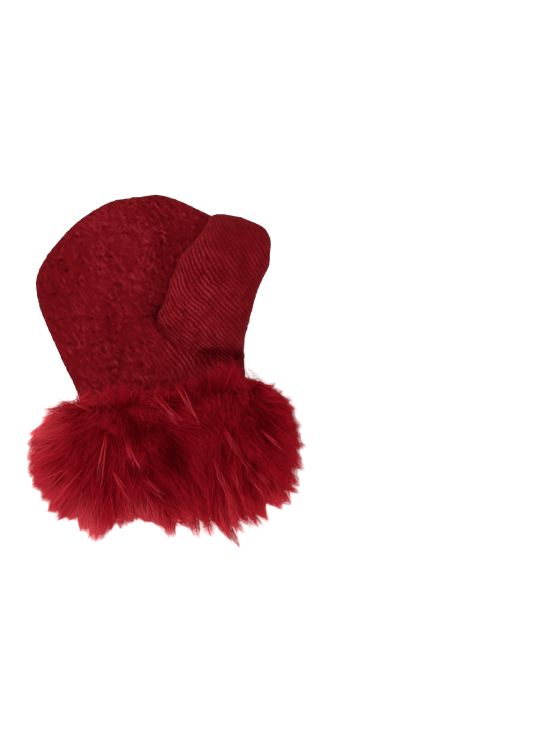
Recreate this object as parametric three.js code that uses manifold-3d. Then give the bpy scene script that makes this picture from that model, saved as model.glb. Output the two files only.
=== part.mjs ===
// A toddler's winter mitten that lies palm up: a knitted hand pouch, a knitted thumb folded over the palm,
// and a deep fur cuff round the wrist. Millimetres, +Z up, +Y towards the fingertips, +X towards the thumb side.
// The pouch and the thumb are hollow and open into each other, and the mouth at the wrist is open.

import * as THREE from 'three';
import { mergeVertices } from 'three/addons/utils/BufferGeometryUtils.js';
import Module from 'manifold-3d';

const wasm = await Module();
wasm.setup();

// Driving dimensions of the hand pouch
const handLength = 115;
const handWidth = 88;
const handLoft = 19;
const knitWall = 2.2;
const cuffLift = 8; // the fur under the wrist holds the mouth this far off the surface

// Driving dimensions of the thumb
const thumbLength = 57;
const thumbWidth = 34;
const thumbLoft = 15.5;
const thumbLean = THREE.MathUtils.degToRad(16.5); // from the hand's own direction, towards +X
const thumbRootAcross = 17; // from the hand's middle line
const thumbRootAlong = 50; // from the mouth
const thumbFreeHeight = 5; // of its underside where it reaches past the hand's edge
const thumbShoulder = 0.5; // how far across the hand the thumb lies on the palm, as a share of its half width

// Driving dimensions of the fur cuff
const furWidth = 113; // over the tips of its locks
const furLength = 69;
const furDepth = 14; // of the dense fur over the knit
const lockLength = 24;
const lockRadius = 5.6;
const rimHeight = 4.2; // of the locks that spread over the surface

const seatGap = 0.3; // between pieces that touch
const press = 0.5; // the soft knit is pressed flat by this much where it lies

// How round a section is: 2 is an ellipse, and more is boxier
const crownSquareness = 2.4;
const soleSquareness = 3.4;
const sideHeight = 0.42; // of a section's side fold, as a share of its height
const furFullness = 0.6; // of the dense fur's back: less is boxier
const backReach = THREE.MathUtils.degToRad(24); // how far under each side the fur's back comes

// Sections of the hand from mouth to tip. along is a share of handLength, left and right of handWidth,
// loft of handLoft, and lift of cuffLift.
const handSections = [
  { along: 0.0, left: -0.352, right: 0.358, loft: 0.80, lift: 1.0 },
  { along: 0.13, left: -0.369, right: 0.369, loft: 0.82, lift: 0.97 },
  { along: 0.26, left: -0.407, right: 0.393, loft: 0.86, lift: 0.74 },
  { along: 0.38, left: -0.482, right: 0.384, loft: 0.92, lift: 0.32 },
  { along: 0.48, left: -0.542, right: 0.380, loft: 0.98, lift: 0.05 },
  { along: 0.58, left: -0.595, right: 0.384, loft: 1.0, lift: 0.0 },
  { along: 0.68, left: -0.614, right: 0.389, loft: 1.0, lift: 0.0 },
  { along: 0.76, left: -0.572, right: 0.384, loft: 0.95, lift: 0.0 },
  { along: 0.84, left: -0.491, right: 0.352, loft: 0.86, lift: 0.0 },
  { along: 0.90, left: -0.413, right: 0.270, loft: 0.75, lift: 0.0 },
  { along: 0.945, left: -0.327, right: 0.158, loft: 0.63, lift: 0.0 },
  { along: 0.975, left: -0.250, right: 0.074, loft: 0.50, lift: 0.0 },
  { along: 0.993, left: -0.108, right: 0.010, loft: 0.36, lift: 0.0 },
  { along: 1.0, left: -0.041, right: -0.041, loft: 0.24, lift: 0.0 },
];

// Soft folds and dents of the palm. across is a share of handWidth, along and reach of handLength,
// spread of handWidth, and rise of handLoft; turn is the fold's direction in degrees from +Y towards +X.
const palmFolds = [
  { across: -0.44, along: 0.56, turn: -10, reach: 0.15, spread: 0.06, rise: -0.10 },
  { across: -0.19, along: 0.45, turn: -6, reach: 0.14, spread: 0.05, rise: -0.10 },
  { across: -0.30, along: 0.45, turn: -12, reach: 0.16, spread: 0.06, rise: 0.07 },
  { across: -0.24, along: 0.72, turn: 35, reach: 0.12, spread: 0.09, rise: 0.06 },
  { across: 0.00, along: 0.70, turn: 18, reach: 0.20, spread: 0.05, rise: -0.12 },
  { across: -0.34, along: 0.86, turn: 60, reach: 0.10, spread: 0.05, rise: -0.08 },
  { across: 0.02, along: 0.92, turn: 95, reach: 0.10, spread: 0.05, rise: -0.06 },
  { across: 0.33, along: 0.40, turn: 95, reach: 0.11, spread: 0.035, rise: -0.19 },
];

// Sections of the thumb from root to tip. along is a share of thumbLength, left and right of thumbWidth,
// loft the top's height over the palm as a share of thumbLoft, and sink how far its underside dips
// into the hand, as a share of handLoft.
const thumbSections = [
  { along: -0.06, left: -0.30, right: 0.42, loft: -0.10, sink: 0.50 },
  { along: 0.0, left: -0.47, right: 0.485, loft: 0.20, sink: 0.52 },
  { along: 0.05, left: -0.59, right: 0.477, loft: 0.49, sink: 0.52 },
  { along: 0.14, left: -0.632, right: 0.45, loft: 0.81, sink: 0.48 },
  { along: 0.26, left: -0.60, right: 0.437, loft: 0.96, sink: 0.28 },
  { along: 0.40, left: -0.595, right: 0.437, loft: 1.0, sink: 0.0 },
  { along: 0.52, left: -0.575, right: 0.44, loft: 1.0, sink: 0.0 },
  { along: 0.62, left: -0.545, right: 0.46, loft: 0.98, sink: 0.0 },
  { along: 0.71, left: -0.47, right: 0.485, loft: 0.94, sink: 0.0 },
  { along: 0.80, left: -0.415, right: 0.455, loft: 0.88, sink: 0.0 },
  { along: 0.88, left: -0.388, right: 0.425, loft: 0.78, sink: 0.0 },
  { along: 0.94, left: -0.37, right: 0.36, loft: 0.66, sink: 0.0 },
  { along: 0.98, left: -0.26, right: 0.25, loft: 0.52, sink: 0.0 },
  { along: 1.0, left: -0.02, right: -0.02, loft: 0.38, sink: 0.0 },
];

// The dense fur round the wrist. turn is degrees round the wrist from the thumb side over the palm side,
// out is a share of furDepth, and fore and aft, its edges towards the fingertips and past the mouth,
// are shares of furLength from the mouth.
const furSections = [
  { turn: 0, out: 1.12, fore: 0.48, aft: -0.18 },
  { turn: 28, out: 1.16, fore: 0.49, aft: -0.25 },
  { turn: 52, out: 1.00, fore: 0.47, aft: -0.30 },
  { turn: 70, out: 0.72, fore: 0.43, aft: -0.29 },
  { turn: 96, out: 0.98, fore: 0.39, aft: -0.31 },
  { turn: 124, out: 0.92, fore: 0.36, aft: -0.30 },
  { turn: 152, out: 1.12, fore: 0.35, aft: -0.29 },
  { turn: 180, out: 1.12, fore: 0.31, aft: -0.20 },
  { turn: 222, out: 0.90, fore: 0.34, aft: -0.25 },
  { turn: 270, out: 0.70, fore: 0.40, aft: -0.27 },
  { turn: 318, out: 0.90, fore: 0.43, aft: -0.25 },
];

// Rings of locks over the dense fur. turn is degrees from its fingertip edge over its back to its mouth edge,
// lean is how far the locks stand off, 0 lying flat, and long is a share of lockLength.
const lockRings = [
  { turn: 8, lean: 1.1, long: 0.42, count: 14 },
  { turn: 34, lean: 0.62, long: 0.75, count: 15 },
  { turn: 64, lean: 0.42, long: 0.95, count: 15 },
  { turn: 94, lean: 0.36, long: 1.0, count: 15 },
  { turn: 124, lean: 0.34, long: 1.0, count: 15 },
  { turn: 154, lean: 0.40, long: 0.9, count: 14 },
];

// The way that the locks lie on the cuff's back. across is a share of furWidth, and heading is degrees
// from straight back past the mouth towards the thumb side.
const furFlow = [
  { across: -0.50, heading: -80 },
  { across: -0.38, heading: -55 },
  { across: -0.26, heading: -22 },
  { across: -0.13, heading: 10 },
  { across: 0.0, heading: 26 },
  { across: 0.12, heading: 16 },
  { across: 0.25, heading: 10 },
  { across: 0.38, heading: 36 },
  { across: 0.50, heading: 70 },
];

// The locks whose tips make the cuff's outline. across is a share of furWidth and along of furLength from
// the mouth, heading is as above, and long is a share of lockLength.
const rimLocks = [
  { across: -0.422, along: 0.335, heading: -116, long: 0.8 },
  { across: -0.452, along: 0.290, heading: -106, long: 0.8 },
  { across: -0.485, along: 0.205, heading: -98, long: 0.9 },
  { across: -0.500, along: 0.085, heading: -88, long: 0.9 },
  { across: -0.492, along: -0.020, heading: -76, long: 0.9 },
  { across: -0.470, along: -0.125, heading: -66, long: 1.0 },
  { across: -0.438, along: -0.215, heading: -52, long: 1.0 },
  { across: -0.380, along: -0.310, heading: -38, long: 1.0 },
  { across: -0.310, along: -0.330, heading: -26, long: 0.9 },
  { across: -0.245, along: -0.430, heading: -14, long: 1.2 },
  { across: -0.185, along: -0.385, heading: -4, long: 1.0 },
  { across: -0.120, along: -0.345, heading: 6, long: 0.9 },
  { across: -0.045, along: -0.330, heading: 6, long: 0.9 },
  { across: 0.028, along: -0.392, heading: 10, long: 1.0 },
  { across: 0.105, along: -0.375, heading: 4, long: 1.0 },
  { across: 0.175, along: -0.365, heading: 14, long: 0.9 },
  { across: 0.255, along: -0.440, heading: 28, long: 1.3 },
  { across: 0.318, along: -0.345, heading: 32, long: 1.0 },
  { across: 0.376, along: -0.300, heading: 38, long: 0.9 },
  { across: 0.440, along: -0.250, heading: 48, long: 0.9 },
  { across: 0.485, along: -0.150, heading: 62, long: 0.9 },
  { across: 0.500, along: -0.010, heading: 78, long: 0.9 },
  { across: 0.500, along: 0.150, heading: 90, long: 0.9 },
  { across: 0.495, along: 0.310, heading: 106, long: 0.9 },
  { across: 0.470, along: 0.460, heading: 132, long: 0.8 },
  { across: 0.395, along: 0.520, heading: 158, long: 0.7 },
];

// Facets
const handRingCount = 32;
const handRowCount = 20;
const thumbRingCount = 22;
const thumbRowCount = 16;
const furRingCount = 36;
const furRowCount = 9;
const lockFacetCount = 4;

const materials = {
  knit: new THREE.MeshStandardMaterial({ color: 0x75121a, roughness: 0.9, metalness: 0 }),
  thumbKnit: new THREE.MeshStandardMaterial({ color: 0x78111a, roughness: 0.9, metalness: 0 }),
  fur: new THREE.MeshStandardMaterial({ color: 0x7e0d18, roughness: 0.65, metalness: 0 }),
};

// A row between the rows of a table, on a smooth curve through them: t is 0 at the first row and 1 at the last.
function rowAt(table, t) {
  const place = THREE.MathUtils.clamp(t, 0, 1) * (table.length - 1);
  const first = Math.min(Math.floor(place), table.length - 2);
  const f = place - first;
  const near = (step) => table[THREE.MathUtils.clamp(first + step, 0, table.length - 1)];
  const row = {};
  for (const key of Object.keys(table[0])) {
    const [a, b, c, d] = [near(-1)[key], near(0)[key], near(1)[key], near(2)[key]];
    const slopeIn = (c - a) / 2;
    const slopeOut = (d - b) / 2;
    row[key] =
      b + f * (slopeIn + f * (3 * (c - b) - 2 * slopeIn - slopeOut + f * (2 * (b - c) + slopeIn + slopeOut)));
  }
  return row;
}

// Where a table's along column reaches a share, as t.
function placeOf(table, share) {
  let low = 0;
  let high = 1;
  for (let i = 0; i < 30; i++) {
    const middle = (low + high) / 2;
    if (rowAt(table, middle).along < share) low = middle;
    else high = middle;
  }
  return (low + high) / 2;
}

// A section's outline at an angle: across runs from 1 at the right side to -1 at the left, and up is its
// share of the height over the side fold, or under it where under is true.
function outline(angle) {
  const c = Math.cos(angle);
  const s = Math.sin(angle);
  const power = 2 / (s > 0 ? crownSquareness : soleSquareness);
  return { across: Math.sign(c) * Math.abs(c) ** power, up: Math.abs(s) ** power, under: s < 0 };
}

// The rise of the palm's folds at a place.
function foldRise(x, y) {
  let rise = 0;
  for (const fold of palmFolds) {
    const turn = THREE.MathUtils.degToRad(fold.turn);
    const dx = x - fold.across * handWidth;
    const dy = y - fold.along * handLength;
    const run = (dx * Math.sin(turn) + dy * Math.cos(turn)) / (fold.reach * handLength);
    const off = (dx * Math.cos(turn) - dy * Math.sin(turn)) / (fold.spread * handWidth);
    rise += fold.rise * handLoft * Math.exp(-run * run - off * off);
  }
  return rise;
}

// The hand's section at t: its sides, and the heights of its underside, side fold and crown.
function handSection(t) {
  const row = rowAt(handSections, t);
  const bottom = row.lift * cuffLift;
  const top = bottom + row.loft * handLoft;
  return {
    y: row.along * handLength,
    middle: ((row.left + row.right) / 2) * handWidth,
    half: ((row.right - row.left) / 2) * handWidth,
    bottom: bottom - press,
    side: bottom + sideHeight * (top - bottom),
    top,
  };
}

// A point of the hand's surface, moved out by grow, or in where grow is negative.
function handPoint(t, angle, grow) {
  const section = handSection(t);
  const { across, up, under } = outline(angle);
  const x = section.middle + Math.max(section.half + grow, 0.05) * across;
  const crown = section.top - section.side + grow + foldRise(x, section.y);
  const sole = section.side - section.bottom + grow;
  const z = section.side + (under ? -Math.max(sole, 0.1) : Math.max(crown, 0.1)) * up;
  return new THREE.Vector3(x, section.y, grow > 0 ? z : Math.max(z, -grow * (1 - press / knitWall)));
}

// The palm's height at a place, or 0 off the hand.
function palmHeight(x, y) {
  const section = handSection(placeOf(handSections, y / handLength));
  const share = Math.abs((x - section.middle) / Math.max(section.half, 0.05));
  if (share >= 1) return 0;
  const up = (1 - share ** crownSquareness) ** (1 / crownSquareness);
  return section.side + (section.top - section.side + foldRise(x, section.y)) * up;
}

// The height that the thumb's underside rests at: the palm's, and towards the hand's edge and past it a slack
// slope down to its free height.
function thumbRest(x, y) {
  const section = handSection(placeOf(handSections, y / handLength));
  const shoulder = section.middle + thumbShoulder * section.half;
  const past = Math.max(x - shoulder, 0) / (section.half * (1 - thumbShoulder));
  const ease = 1 / (1 + past * past * 0.5);
  return thumbFreeHeight + (palmHeight(Math.min(x, shoulder), y) + seatGap - thumbFreeHeight) * ease;
}

// A point of the thumb's surface, moved in by inset.
function thumbPoint(t, angle, inset) {
  const row = rowAt(thumbSections, t);
  const { across, up, under } = outline(angle);
  const run = Math.min(row.along * thumbLength, thumbLength) - (row.along > 0.5 ? inset * row.along : 0);
  const half = Math.max(((row.right - row.left) / 2) * thumbWidth - inset, 0.05);
  const off = ((row.left + row.right) / 2) * thumbWidth + half * across;
  const x = thumbRootAcross + run * Math.sin(thumbLean) + off * Math.cos(thumbLean);
  const y = thumbRootAlong + run * Math.cos(thumbLean) - off * Math.sin(thumbLean);
  const low = thumbRest(x, y) - Math.max(row.sink, 0) * handLoft;
  const high = thumbRest(x, y) + row.loft * thumbLoft;
  const side = low + sideHeight * (high - low);
  const reach = under ? side - low - inset : high - side - inset;
  return new THREE.Vector3(x, y, side + (under ? -1 : 1) * Math.max(reach, 0.1) * up);
}

// A closed geometry from rings of points, with a flat cap on the first ring and a pole on the last.
function skin(rings, pole) {
  const sides = rings[0].length;
  const points = rings.flat();
  const faces = [];
  for (let i = 0; i + 1 < rings.length; i++)
    for (let j = 0; j < sides; j++) {
      const a = i * sides + j;
      const b = i * sides + ((j + 1) % sides);
      faces.push(a, a + sides, b, b, a + sides, b + sides);
    }
  const start = points.length;
  points.push(rings[0].reduce((sum, p) => sum.add(p), new THREE.Vector3()).divideScalar(sides), pole);
  const last = (rings.length - 1) * sides;
  for (let j = 0; j < sides; j++) {
    const next = (j + 1) % sides;
    faces.push(start, j, next, start + 1, last + next, last + j);
  }
  return geometryOf(points, faces);
}

// A closed geometry from rings of points that follow each other round a loop.
function loopSkin(rings) {
  const sides = rings[0].length;
  const points = rings.flat();
  const faces = [];
  for (let i = 0; i < rings.length; i++)
    for (let j = 0; j < sides; j++) {
      const next = (i + 1) % rings.length;
      const a = i * sides + j;
      const b = i * sides + ((j + 1) % sides);
      const c = next * sides + j;
      const d = next * sides + ((j + 1) % sides);
      faces.push(a, b, c, b, d, c);
    }
  return geometryOf(points, faces);
}

function geometryOf(points, faces) {
  const geometry = new THREE.BufferGeometry().setFromPoints(points);
  geometry.setIndex(faces);
  return geometry;
}

// The solid of a closed geometry, turned to face out.
function solidOf(geometry) {
  const merged = mergeVertices(geometry, 1e-4);
  const triVerts = new Uint32Array(merged.index.array);
  const build = () =>
    new wasm.Manifold(
      new wasm.Mesh({ numProp: 3, vertProperties: merged.attributes.position.array, triVerts }),
    );
  const made = build();
  if (made.volume() > 0) return made;
  for (let i = 0; i < triVerts.length; i += 3)
    [triVerts[i + 1], triVerts[i + 2]] = [triVerts[i + 2], triVerts[i + 1]];
  return build();
}

function boxSolid(low, high) {
  const box = new THREE.BoxGeometry(high.x - low.x, high.y - low.y, high.z - low.z);
  box.translate((low.x + high.x) / 2, (low.y + high.y) / 2, (low.z + high.z) / 2);
  box.deleteAttribute('normal');
  box.deleteAttribute('uv');
  return solidOf(box);
}

// The largest body of a solid, without the ends of locks that a cut has parted from it.
function largestBody(solid) {
  return solid.decompose().reduce((best, body) => (body.volume() > best.volume() ? body : best));
}

// A named mesh of a solid.
function meshOf(name, solid, material) {
  const { numProp, vertProperties, triVerts } = solid.getMesh();
  const points = [];
  for (let i = 0; i < vertProperties.length; i += numProp)
    points.push(new THREE.Vector3(...vertProperties.subarray(i, i + 3)));
  const geometry = geometryOf(points, Array.from(triVerts));
  geometry.computeVertexNormals();
  const mesh = new THREE.Mesh(geometry, material);
  mesh.name = name;
  return mesh;
}

const angles = (count) => Array.from({ length: count }, (_, i) => (i / count) * 2 * Math.PI);

// The hand's form, moved out by grow. Its mouth end runs straight on by past, and its tip moves with grow.
function handForm(grow, past) {
  const rings = [];
  const sides = angles(handRingCount);
  const scale = 1 + grow / handLength;
  if (past > 0) rings.push(sides.map((a) => handPoint(0, a, grow).setY(-past)));
  for (let i = 0; i < handRowCount; i++) {
    const t = i / handRowCount;
    rings.push(sides.map((a) => {
      const p = handPoint(t, a, grow);
      return p.setY(p.y * scale);
    }));
  }
  const tip = handSection(1);
  return solidOf(skin(rings, new THREE.Vector3(tip.middle, tip.y * scale, tip.side)));
}

// The thumb's form, moved in by inset.
function thumbForm(inset) {
  const rings = [];
  for (let i = 0; i < thumbRowCount; i++)
    rings.push(angles(thumbRingCount).map((a) => thumbPoint(i / thumbRowCount, a, inset)));
  return solidOf(skin(rings, thumbPoint(1, 0, inset)));
}

// A steady number between -1 and 1 for a lock, so that locks differ and stay the same on every run.
const vary = (index, kind) => Math.sin(index * 12.9898 + kind * 78.233) * Math.cos(index * 4.1414 + kind * 37.719);

// A row of a table whose turn column runs round a loop, at an angle in radians.
function rowRound(table, angle) {
  const degrees = THREE.MathUtils.euclideanModulo(THREE.MathUtils.radToDeg(angle), 360);
  const last = table.findLastIndex((row) => row.turn <= degrees);
  const low = table[last];
  const high = table[(last + 1) % table.length];
  const f = (degrees - low.turn) / (THREE.MathUtils.euclideanModulo(high.turn - low.turn, 360));
  const ease = f * f * (3 - 2 * f);
  return Object.fromEntries(Object.keys(low).map((key) => [key, low[key] + ease * (high[key] - low[key])]));
}

// A column of a table at a value of its first column, straight between rows.
function columnAt(table, value, key, by) {
  const next = table.findIndex((row) => row[by] > value);
  if (next < 0) return table[table.length - 1][key];
  if (next === 0) return table[0][key];
  const [low, high] = [table[next - 1], table[next]];
  return low[key] + ((value - low[by]) / (high[by] - low[by])) * (high[key] - low[key]);
}

// A point round the wrist at a height over the knit. Past the mouth the wrist's own section runs on.
function wristPoint(along, angle, out) {
  const t = placeOf(handSections, Math.max(along / handLength, 0));
  return handPoint(t, angle, Math.max(out, 0.01)).setY(along);
}

// A point of the dense fur's surface. turn runs from its fingertip edge over its back to its mouth edge.
function furPoint(angle, turn) {
  const row = rowRound(furSections, angle);
  const along = (furLength * (row.fore + row.aft + (row.fore - row.aft) * Math.cos(turn))) / 2;
  const out = Math.sin(turn) > 0 ? furDepth * row.out * Math.sin(turn) ** furFullness : 0;
  return wristPoint(along, angle, out).setY(along);
}

// The dense fur: a round-backed ring over the wrist.
function furRing() {
  const rings = angles(furRingCount).map((angle) => {
    const back = Array.from({ length: furRowCount }, (_, i) => furPoint(angle, (i / (furRowCount - 1)) * Math.PI));
    const inner = [0.75, 0.5, 0.25].map((f) => back[0].clone().lerp(back[furRowCount - 1], 1 - f));
    const wrist = handSection(0);
    const core = new THREE.Vector3(wrist.middle, 0, wrist.side);
    inner.forEach((p) => p.lerp(core.clone().setY(p.y), 0.12));
    return [...back, ...inner.reverse()];
  });
  return solidOf(loopSkin(rings));
}

// One pointed lock from root to tip, that arches over by bend.
function lock(root, tip, bend, radius) {
  const direction = tip.clone().sub(root).normalize();
  const sideways = new THREE.Vector3().crossVectors(direction, new THREE.Vector3(0, 0, 1));
  if (sideways.length() < 0.2) sideways.set(1, 0, 0);
  sideways.normalize();
  const over = new THREE.Vector3().crossVectors(sideways, direction).normalize();
  const spine = (f) => root.clone().lerp(tip, f).addScaledVector(over, 4 * bend * f * (1 - f));
  const rings = [
    { at: 0, wide: 0.75 },
    { at: 0.34, wide: 1 },
    { at: 0.7, wide: 0.62 },
  ].map(({ at, wide }) =>
    angles(lockFacetCount).map((a) =>
      spine(at)
        .addScaledVector(sideways, radius * wide * Math.cos(a))
        .addScaledVector(over, radius * 0.45 * wide * Math.sin(a)),
    ),
  );
  return solidOf(skin(rings, tip));
}

// The plan direction of a heading.
function headingOf(degrees) {
  const turn = THREE.MathUtils.degToRad(degrees);
  return new THREE.Vector3(Math.sin(turn), -Math.cos(turn), 0);
}

// The cuff's outline from above, as the tips of its rim locks by their angle round its middle.
const rimMiddle = new THREE.Vector3(0, 0.05 * furLength, 0);
const rimTips = rimLocks
  .map((row) => {
    const across = row.across * furWidth - rimMiddle.x;
    const along = row.along * furLength - rimMiddle.y;
    return { bearing: Math.atan2(across, -along), reach: Math.hypot(across, along) };
  })
  .sort((a, b) => a.bearing - b.bearing);

// Draws a tip in to a share of the outline's reach, where it would stand out past that.
function keepInside(tip, share) {
  const across = tip.x - rimMiddle.x;
  const along = tip.y - rimMiddle.y;
  const limit = share * columnAt(rimTips, Math.atan2(across, -along), 'reach', 'bearing');
  const shrink = Math.min(limit / Math.hypot(across, along), 1);
  tip.x = rimMiddle.x + across * shrink;
  tip.y = rimMiddle.y + along * shrink;
}

// Angles round the wrist, from low on the thumb side over the back to low on the other side, evenly apart
// along the dense fur's surface at a turn.
function backAngles(turn, count) {
  const from = -backReach;
  const span = Math.PI + 2 * backReach;
  const steps = 60;
  const lengths = [0];
  let before = furPoint(from, turn);
  for (let i = 1; i <= steps; i++) {
    const point = furPoint(from + (span * i) / steps, turn);
    lengths.push(lengths[i - 1] + point.distanceTo(before));
    before = point;
  }
  return (share) => {
    const goal = (THREE.MathUtils.clamp(share, 0, count) / count) * lengths[steps];
    const next = Math.max(lengths.findIndex((length) => length >= goal), 1);
    const f = (goal - lengths[next - 1]) / (lengths[next] - lengths[next - 1]);
    return from + (span * (next - 1 + f)) / steps;
  };
}

// Locks over the back and sides of the dense fur, that lie like shingles the way the fur flows. Under the
// wrist the mitten's weight presses the fur flat.
function backLocks() {
  const locks = [];
  lockRings.forEach((ring, r) => {
    const angleAt = backAngles(THREE.MathUtils.degToRad(ring.turn), ring.count);
    for (let i = 0; i < ring.count; i++) {
      const index = r * 100 + i;
      const angle = angleAt(i + 0.5 * (r % 2) + 0.25 + 0.22 * vary(index, 1));
      const turn = THREE.MathUtils.degToRad(ring.turn + 7 * vary(index, 2));
      const surface = furPoint(angle, turn);
      const step = 0.05;
      const round = furPoint(angle + step, turn).sub(furPoint(angle - step, turn));
      const back = furPoint(angle, turn + step).sub(furPoint(angle, turn - step));
      const normal = round.cross(back).normalize();
      const flow = headingOf(columnAt(furFlow, surface.x / furWidth, 'heading', 'across'));
      flow.addScaledVector(normal, -flow.dot(normal));
      const lean = ring.lean * (1 + 0.3 * vary(index, 3));
      const direction = flow.addScaledVector(normal, lean).normalize();
      const length = lockLength * ring.long * (1 + 0.2 * vary(index, 4));
      const root = surface.clone().addScaledVector(normal, -0.3 * lockRadius);
      const tip = surface.clone().addScaledVector(direction, length * 0.85);
      keepInside(tip, 0.98);
      tip.z = Math.max(tip.z - 0.08 * length, 0.15 * lockRadius);
      locks.push(lock(root, tip, 0.1 * length, lockRadius * (1 + 0.15 * vary(index, 5))));
    }
  });
  return locks;
}

// The locks of the cuff's outline. They lie low, since they spread over the surface under the mitten.
function outlineLocks() {
  return rimLocks.map((row, index) => {
    const length = lockLength * row.long;
    const height = rimHeight * (1 + 0.25 * vary(index, 6));
    const tip = new THREE.Vector3(row.across * furWidth, row.along * furLength, height);
    const root = tip.clone().addScaledVector(headingOf(row.heading), -length);
    return lock(root, tip, 0, lockRadius * 1.2);
  });
}

function furCuff(handClear, thumbClear) {
  const far = 3 * handLength;
  const above = boxSolid(new THREE.Vector3(-far, -far, 0), new THREE.Vector3(far, far, far));
  const cut = wasm.Manifold.union([furRing(), ...backLocks(), ...outlineLocks()])
    .subtract(handClear)
    .subtract(thumbClear)
    .intersect(above);
  return largestBody(cut);
}

const handOuter = handForm(0, 0);
const handHollow = handForm(-knitWall, 2 * knitWall);
const handClear = handForm(seatGap, 3 * lockLength);
const thumbOuter = thumbForm(0);
const thumbHollow = thumbForm(knitWall);

const handShell = handOuter.subtract(handHollow).subtract(thumbHollow);
const thumbShell = thumbOuter.subtract(thumbHollow).subtract(handClear);
const fur = furCuff(handClear, thumbForm(-seatGap));

const assembly = new THREE.Group();
assembly.add(
  meshOf('hand_shell', handShell, materials.knit),
  meshOf('thumb_shell', thumbShell, materials.thumbKnit),
  meshOf('fur_cuff', fur, materials.fur),
);

// The origin is on the surface that the mitten lies on, under the middle of its outline.
const bounds = new THREE.Box3().setFromObject(assembly);
assembly.position.set(-(bounds.min.x + bounds.max.x) / 2, -(bounds.min.y + bounds.max.y) / 2, -bounds.min.z);

const mitten = new THREE.Group();
mitten.add(assembly);

export default mitten;
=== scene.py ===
# A toddler's winter mitten that lies palm up: a knitted pouch, a knitted thumb folded over the palm, and a
# deep fur cuff round the wrist. Shapes are worked out in millimetres with the mouth of the wrist at y = 0,
# and are placed in metres in the model's own frame.

import math

import bpy
import numpy as np
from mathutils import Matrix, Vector


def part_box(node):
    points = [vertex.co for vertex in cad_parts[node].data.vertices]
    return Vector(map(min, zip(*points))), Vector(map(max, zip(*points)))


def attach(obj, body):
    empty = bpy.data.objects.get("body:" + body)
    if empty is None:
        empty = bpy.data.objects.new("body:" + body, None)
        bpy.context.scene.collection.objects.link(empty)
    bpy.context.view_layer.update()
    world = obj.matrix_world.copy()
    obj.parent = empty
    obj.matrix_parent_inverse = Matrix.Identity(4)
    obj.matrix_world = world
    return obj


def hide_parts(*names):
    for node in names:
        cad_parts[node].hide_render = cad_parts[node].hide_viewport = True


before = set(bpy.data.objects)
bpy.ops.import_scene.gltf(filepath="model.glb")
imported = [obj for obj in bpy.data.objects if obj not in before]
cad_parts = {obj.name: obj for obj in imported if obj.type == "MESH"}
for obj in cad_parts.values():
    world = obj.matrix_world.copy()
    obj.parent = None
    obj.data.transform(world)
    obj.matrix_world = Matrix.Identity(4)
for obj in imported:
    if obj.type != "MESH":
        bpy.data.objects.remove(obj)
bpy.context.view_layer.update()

# Sizes of the hand pouch
HAND_LENGTH = 115.0
HAND_WIDTH = 88.0
HAND_LOFT = 19.0
KNIT_WALL = 2.2
CUFF_LIFT = 8.0

# Sizes of the thumb
THUMB_LENGTH = 57.0
THUMB_WIDTH = 34.0
THUMB_LOFT = 15.5
THUMB_LEAN = math.radians(16.5)
THUMB_ROOT_ACROSS = 17.0
THUMB_ROOT_ALONG = 50.0
THUMB_FREE_HEIGHT = 5.0
THUMB_SHOULDER = 0.5

# Sizes of the fur cuff
FUR_WIDTH = 113.0
FUR_LENGTH = 69.0
FUR_DEPTH = 14.0
LOCK_LENGTH = 24.0
LOCK_RADIUS = 5.6
RIM_HEIGHT = 4.2

SEAT_GAP = 0.3
PRESS = 0.5
CROWN_SQUARENESS = 2.4
SOLE_SQUARENESS = 3.4
SIDE_HEIGHT = 0.42
FUR_FULLNESS = 0.6
BACK_REACH = math.radians(24)

# The knit's meshes: steps between their rings, columns over and under the form, and where the relief starts
PALM_STEP = 0.52
PALM_COLUMNS = (224, 104)
THUMB_STEP = 0.42
THUMB_COLUMNS = (130, 66)
PLAIN_RINGS = 12
PLAIN_END = 24.0
ROUND_SAMPLES = 400

# The fur's strands
FUR_SEED = 20
STRAND_POINTS = 5
STRANDS_EACH = 8800
OVER_KNIT = 0.75

# Sections of the hand from mouth to tip: along, left, right, loft, lift.
HAND_SECTIONS = np.array([
    [0.0, -0.352, 0.358, 0.80, 1.0],
    [0.13, -0.369, 0.369, 0.82, 0.97],
    [0.26, -0.407, 0.393, 0.86, 0.74],
    [0.38, -0.482, 0.384, 0.92, 0.32],
    [0.48, -0.542, 0.380, 0.98, 0.05],
    [0.58, -0.595, 0.384, 1.0, 0.0],
    [0.68, -0.614, 0.389, 1.0, 0.0],
    [0.76, -0.572, 0.384, 0.95, 0.0],
    [0.84, -0.491, 0.352, 0.86, 0.0],
    [0.90, -0.413, 0.270, 0.75, 0.0],
    [0.945, -0.327, 0.158, 0.63, 0.0],
    [0.975, -0.250, 0.074, 0.50, 0.0],
    [0.993, -0.108, 0.010, 0.36, 0.0],
    [1.0, -0.041, -0.041, 0.24, 0.0],
])

# Soft folds and dents of the palm: across, along, turn, reach, spread, rise.
PALM_FOLDS = [
    (-0.44, 0.56, -10, 0.15, 0.06, -0.10),
    (-0.19, 0.45, -6, 0.14, 0.05, -0.10),
    (-0.30, 0.45, -12, 0.16, 0.06, 0.07),
    (-0.24, 0.72, 35, 0.12, 0.09, 0.06),
    (0.00, 0.70, 18, 0.20, 0.05, -0.12),
    (-0.34, 0.86, 60, 0.10, 0.05, -0.08),
    (0.02, 0.92, 95, 0.10, 0.05, -0.06),
    (0.33, 0.40, 95, 0.11, 0.035, -0.19),
]

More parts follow.
